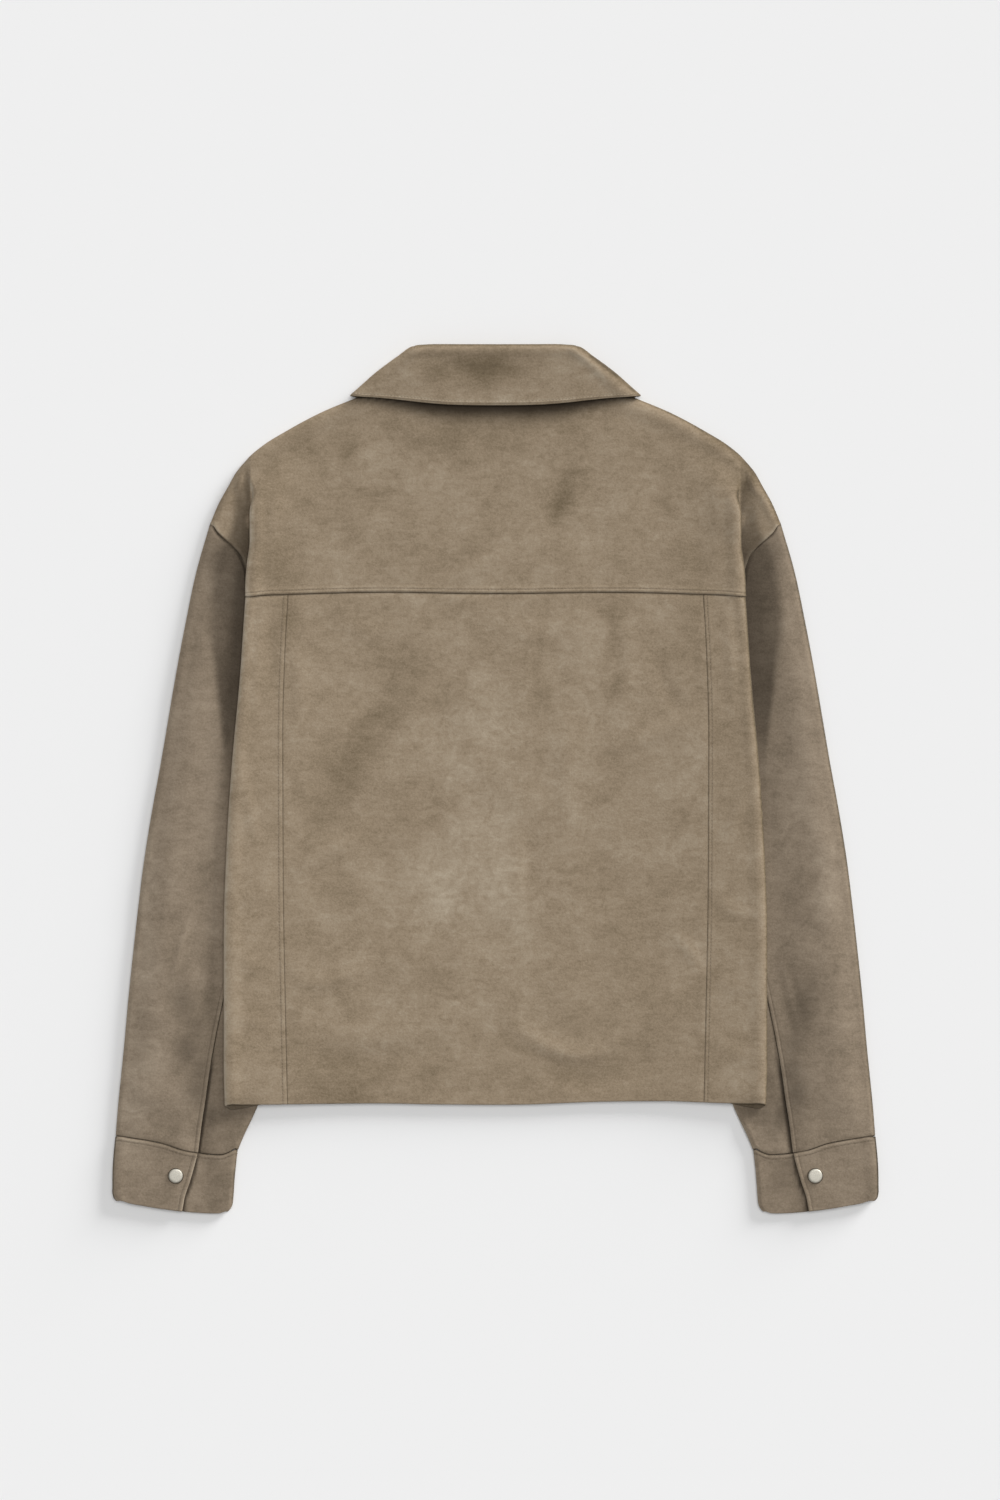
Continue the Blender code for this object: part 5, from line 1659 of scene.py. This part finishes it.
def ventSink(x, y):
    # the under cut drops away beside the sleeve vent
    depth, width, top, run = sleevePuff["vent"]
    beside = hump((np.abs(x) - read(ventLine, "x", y)) / width)
    return puff(x, y) - depth * beside * ease((top - y) / run)


# painted shade where cloth lies close over cloth and under the collar's edge, and painted light along a fold
shadeLook = {
    "ventSlit": (0.74, 1.5, 2.4),     # how dark, how far in from the vent's line, and how softly it ends
    "slitTop": (-258, 22),
    "lapEnd": (0.8, 1.6, 3.0),        # the same for the cuff's lower end beside its lap
    "lapEndHeights": (3.6, 5.7),
    "pleatOpens": (244, 12),          # above this the pleat lies open as a groove
    "pleatTop": (0.3, 1.2),           # how far over the sleeve cloth counts as the body's top
    "grooveSide": (0.8, 1.0),
    "underCollar": 0.95,
    "collarReach": (4.0, 8.5),        # of that shade at the collar's corner, and how much more at the middle
    "collarCorner": (136, 90),
    "collarEnd": (144, 14),
    "lip": (0.6, 7, 4),               # below the hem: how dark, under what height, how far up
    "paintedFoldLight": (0.5, 1.4, 2.2),      # painted light: how pale, how far in from the fold, how wide
    "wearTop": (300, 40),
}


def sleevePaintedShade(x, y, z):
    # painted shade in the valley beside the body
    return valleyPaintedShade(x, y)


def ventPaintedShade(x, y, z):
    # painted shade: the dark slit beside the sleeve's bound vent, together with the valley's painted shade
    inside = read(ventLine, "x", y) - np.abs(x)
    (dark, far, soft), (top, run) = shadeLook["ventSlit"], shadeLook["slitTop"]
    return np.maximum(valleyPaintedShade(x, y), dark * (1 - ease((inside - far) / soft)) * ease((top - y) / run))


def cuffPaintedShade(x, y, z):
    # painted shade on the cuff's lower end, where the lapped end stands over it
    inside = read(lapLine, "x", y) - np.abs(x)
    (dark, far, soft), (low, high) = shadeLook["lapEnd"], shadeLook["lapEndHeights"]
    return dark * (1 - ease((inside - far) / soft)) * (z < high) * (z > low)


def yokePaintedShade(x, y, z):
    # painted shade in the valleys beyond the pleats' folds, and a painted shadow under the collar's free edge
    out = np.abs(x)
    (opening, openRun), (top, topRun) = shadeLook["pleatOpens"], shadeLook["pleatTop"]
    (groove, grooveRun), (reach, reachMore) = shadeLook["grooveSide"], shadeLook["collarReach"]
    (corner, cornerRun), (end, endRun) = shadeLook["collarCorner"], shadeLook["collarEnd"]
    overBase = z - np.maximum(sleeveHeight(out, y), layer(1))
    beyond = out - read(sideFold, "x", y)
    opened = ease((y - opening) / openRun)
    inGroove = ease((beyond + groove) / grooveRun)
    onTop = (1 - opened) * ease((overBase - top) / topRun) + opened * (1 - inGroove)
    valleys = valleyPaintedShade(x, y) * (1 - onTop)
    below = through(*np.array(leafEdge + [leafSide[-1]]).T, out) - y
    reach = reach + reachMore * ease((corner - out) / cornerRun)
    shade = shadeLook["underCollar"] * hump(np.maximum(below, 0) / reach) * (below > -8)
    return np.maximum(valleys, shade * ease((end - out) / endRun))


def hemLipPaintedShade(x, y, z):
    # painted shade on what shows of the turned-under cloth below the hem
    dark, under, up = shadeLook["lip"]
    return dark * (z < under) * (y < hemLine + up)


def paintedFoldLight(x, y, z):
    # painted light: the nap is drawn paler along the fold at the left of the body, which turns away from the
    # key light
    (pale, far, width), (top, run) = shadeLook["paintedFoldLight"], shadeLook["wearTop"]
    edge = np.abs(x) - read(sideFold, "x", y)
    onTop = z > cutSizes["backBase"] + 0.5
    return pale * hump((edge + far) / width) * onTop * ease((top - y) / run) * (x < 0)


def lineOn(face, normal, rows, columns):
    return face[rows, columns], normal[rows, columns]


def backPanels():
    piece = dress("backCentre", backCentreGrid(), bodySuede, 3.1, ("plain", "hem", "softPlain", "softPlain"),
                  bodyCreases, waves=0.35)[0]
    settle(piece, "back_centre")
    for word, side in bothSides:
        piece, face, normal = dress(f"backSide.{word}", backSideGrid(side), bodySuede, 3.1,
                                    ("plain", "hem", "softStitched", "hem"), sideCreases, waves=0.25,
                                    side=side, anchors=((), (4, 7, 10)), paintedShade=hemLipPaintedShade, paintedLightTone=paintedFoldLight)
        sewn = stitchRun(f"sideTopstitch.{word}", [lineOn(face, normal, slice(3, -1), stitchLine)])
        settle(piece, f"back_side_{word}",
               [sewn])


def yokePiece():
    grid, topRow, folds = yokeGrid()

    def hole(rows, columns, rowCounts, columnCounts, nearCells):
        # behind the neck the yoke ends at its top row, so nothing is turned over there
        kept = np.ones((rows - 1, columns - 1), bool)
        halfway = len(columnCounts) // 2
        first = nearCells[2] + sum(columnCounts[:halfway])
        kept[nearCells[0] + rowCounts[0]:, first:first + columnCounts[halfway]] = False
        return kept

    piece, face, normal = dress("yokeSuede", grid, bodySuede, 3.1, ("stitched", "hem", "lapped", "lapped"),
                                yokeCreases, waves=0.3, anchors=((topRow, topRow + 4), folds), hole=hole,
                                paintedShade=yokePaintedShade, paintedLightTone=paintedFoldLight)
    row, rise = face[stitchLine], normal[stitchLine, :, 2]
    pleatStart, level = 234, 0.6
    seen = (np.abs(row[:, 0]) < pleatStart) & (rise > level) & (row[:, 2] > cutSizes["backBase"])
    inner = np.flatnonzero(seen)
    sewn = stitchRun("yokeTopstitch", [lineOn(face, normal, stitchLine, slice(inner[0], inner[-1] + 1))])
    settle(piece, "yoke", [sewn])


def snapSeats(x, y):
    # the cloth is lifted over each snap pressed into the front edge
    rise, clear, run = snapLook["seat"]
    lifted = np.zeros_like(x)
    for k in range(snapLook["frontCount"]):
        away = np.hypot(x, y - (snapLook["firstFront"] - k * snapLook["frontSpacing"]))
        lifted = np.maximum(lifted, rise * (1 - ease((away - snapLook["rim"] / 2 - clear) / run)))
    return lifted


def frontPanels():
    for word, side in bothSides:
        piece, face, normal = dress(f"front.{word}", frontGrid(side), bodySuede, 4.2,
                                    ("hem", "hem", "turned", "hem"), frontCreases, waves=0.0, side=side,
                                    lift=snapSeats if word == "left" else None, over=-1)
        sewn = stitchRun(f"placketTopstitch.{word}", [lineOn(face, normal, slice(4, -4), stitchLine)])
        settle(piece, f"front_{word}",
               [sewn])


def sleeves():
    upper, under = sleeveGrids()
    for word, side in bothSides:
        piece = dress(f"sleeveUpper.{word}", upper, sleeveSuede, 3.6, ("under", "plain", "hem", "turned"),
                      sleeveCreases, waves=0.3, lift=puff, side=side, anchors=((), (6, 11)),
                      paintedShade=sleevePaintedShade, shutBelow=False)[0]
        settle(piece, f"sleeve_upper_{word}")
        piece = dress(f"sleeveUnder.{word}", under, sleeveSuede, 3.6, ("plain", "plain", "plain", "hem"),
                      sleeveCreases, waves=0.25, lift=ventSink, side=side, anchors=((), (5, 9)),
                      paintedShade=ventPaintedShade, shutBelow=False)[0]
        settle(piece, f"sleeve_under_{word}")


def cuffs():
    for word, side in bothSides:
        piece, face, normal = dress(f"cuff.{word}", cuffGrid(), sleeveSuede, 2.6,
                                    ("stitched", "hem", "turned", "hem"), waves=0.2, side=side,
                                    anchors=((), (5, 8, 11, 17, 22)), paintedShade=cuffPaintedShade)
        runs = [lineOn(face, normal, stitchLine, slice(6, -6)),
                lineOn(face, normal, slice(7, -4), stitchLine)]
        sewn = stitchRun(f"cuffTopstitch.{word}", runs)
        settle(piece, f"cuff_{word}", [sewn])


def collarPiece():
    piece, face, normal = dress("collarSuede", collarGrid(), bodySuede, 2.8, ("hem", "hem", "lipped", "hem"),
                                collarCreases, waves=0.25, anchors=((6, 9, 12, 18, 24, 27, 30), (5, 10)))
    sewn = stitchRun("collarTopstitch", [lineOn(face, normal, slice(4, -4), stitchLine)])
    settle(piece, "collar", [sewn])


def snaps():
    cap, rim = snapLook["cap"] / 2, snapLook["rim"] / 2
    rimProfile = [(rim - 0.3, -0.5), (rim, 0.0), (rim, 0.35), (rim - 0.25, 0.6), (cap - 0.2, 0.62),
                  (cap - 0.5, 0.3)]
    capProfile = [(cap - 0.2, 0.2), (cap, 0.5), (cap - 0.05, 0.85), (cap - 0.3, 1.15), (cap - 0.8, 1.36),
                  (cap - 1.8, 1.46), (cap - 3.4, 1.5), (0.6, 1.52)]
    frontProfile = [(cap - 1.4, 0.12), (cap - 0.9, 0.02), (cap - 0.3, 0.1), (cap, 0.35), (rim - 0.1, 0.55),
                    (rim, 0.75), (rim, 1.0)]
    out, up = snapLook["cuffPlace"]
    for word, side in bothSides:
        centre = (side * out, up, snapLook["cuffBase"])
        fit(turnedPart(f"cuffSnapRim.{word}", rimProfile, centre, darkNickel))
        head = turnedPart(f"cuffSnapCap.{word}", capProfile, centre, satinNickel)
        fit(head, f"cuff_snap_{word}")
    for k in range(snapLook["frontCount"]):
        centre = (0, snapLook["firstFront"] - k * snapLook["frontSpacing"], 0)
        head = turnedPart(f"frontSnap.{k + 1}", frontProfile, centre, satinNickel)
        fit(head, f"front_snap_{k + 1}")


backPanels()
yokePiece()
frontPanels()
sleeves()
cuffs()
collarPiece()
snaps()
print("jacket dressed")
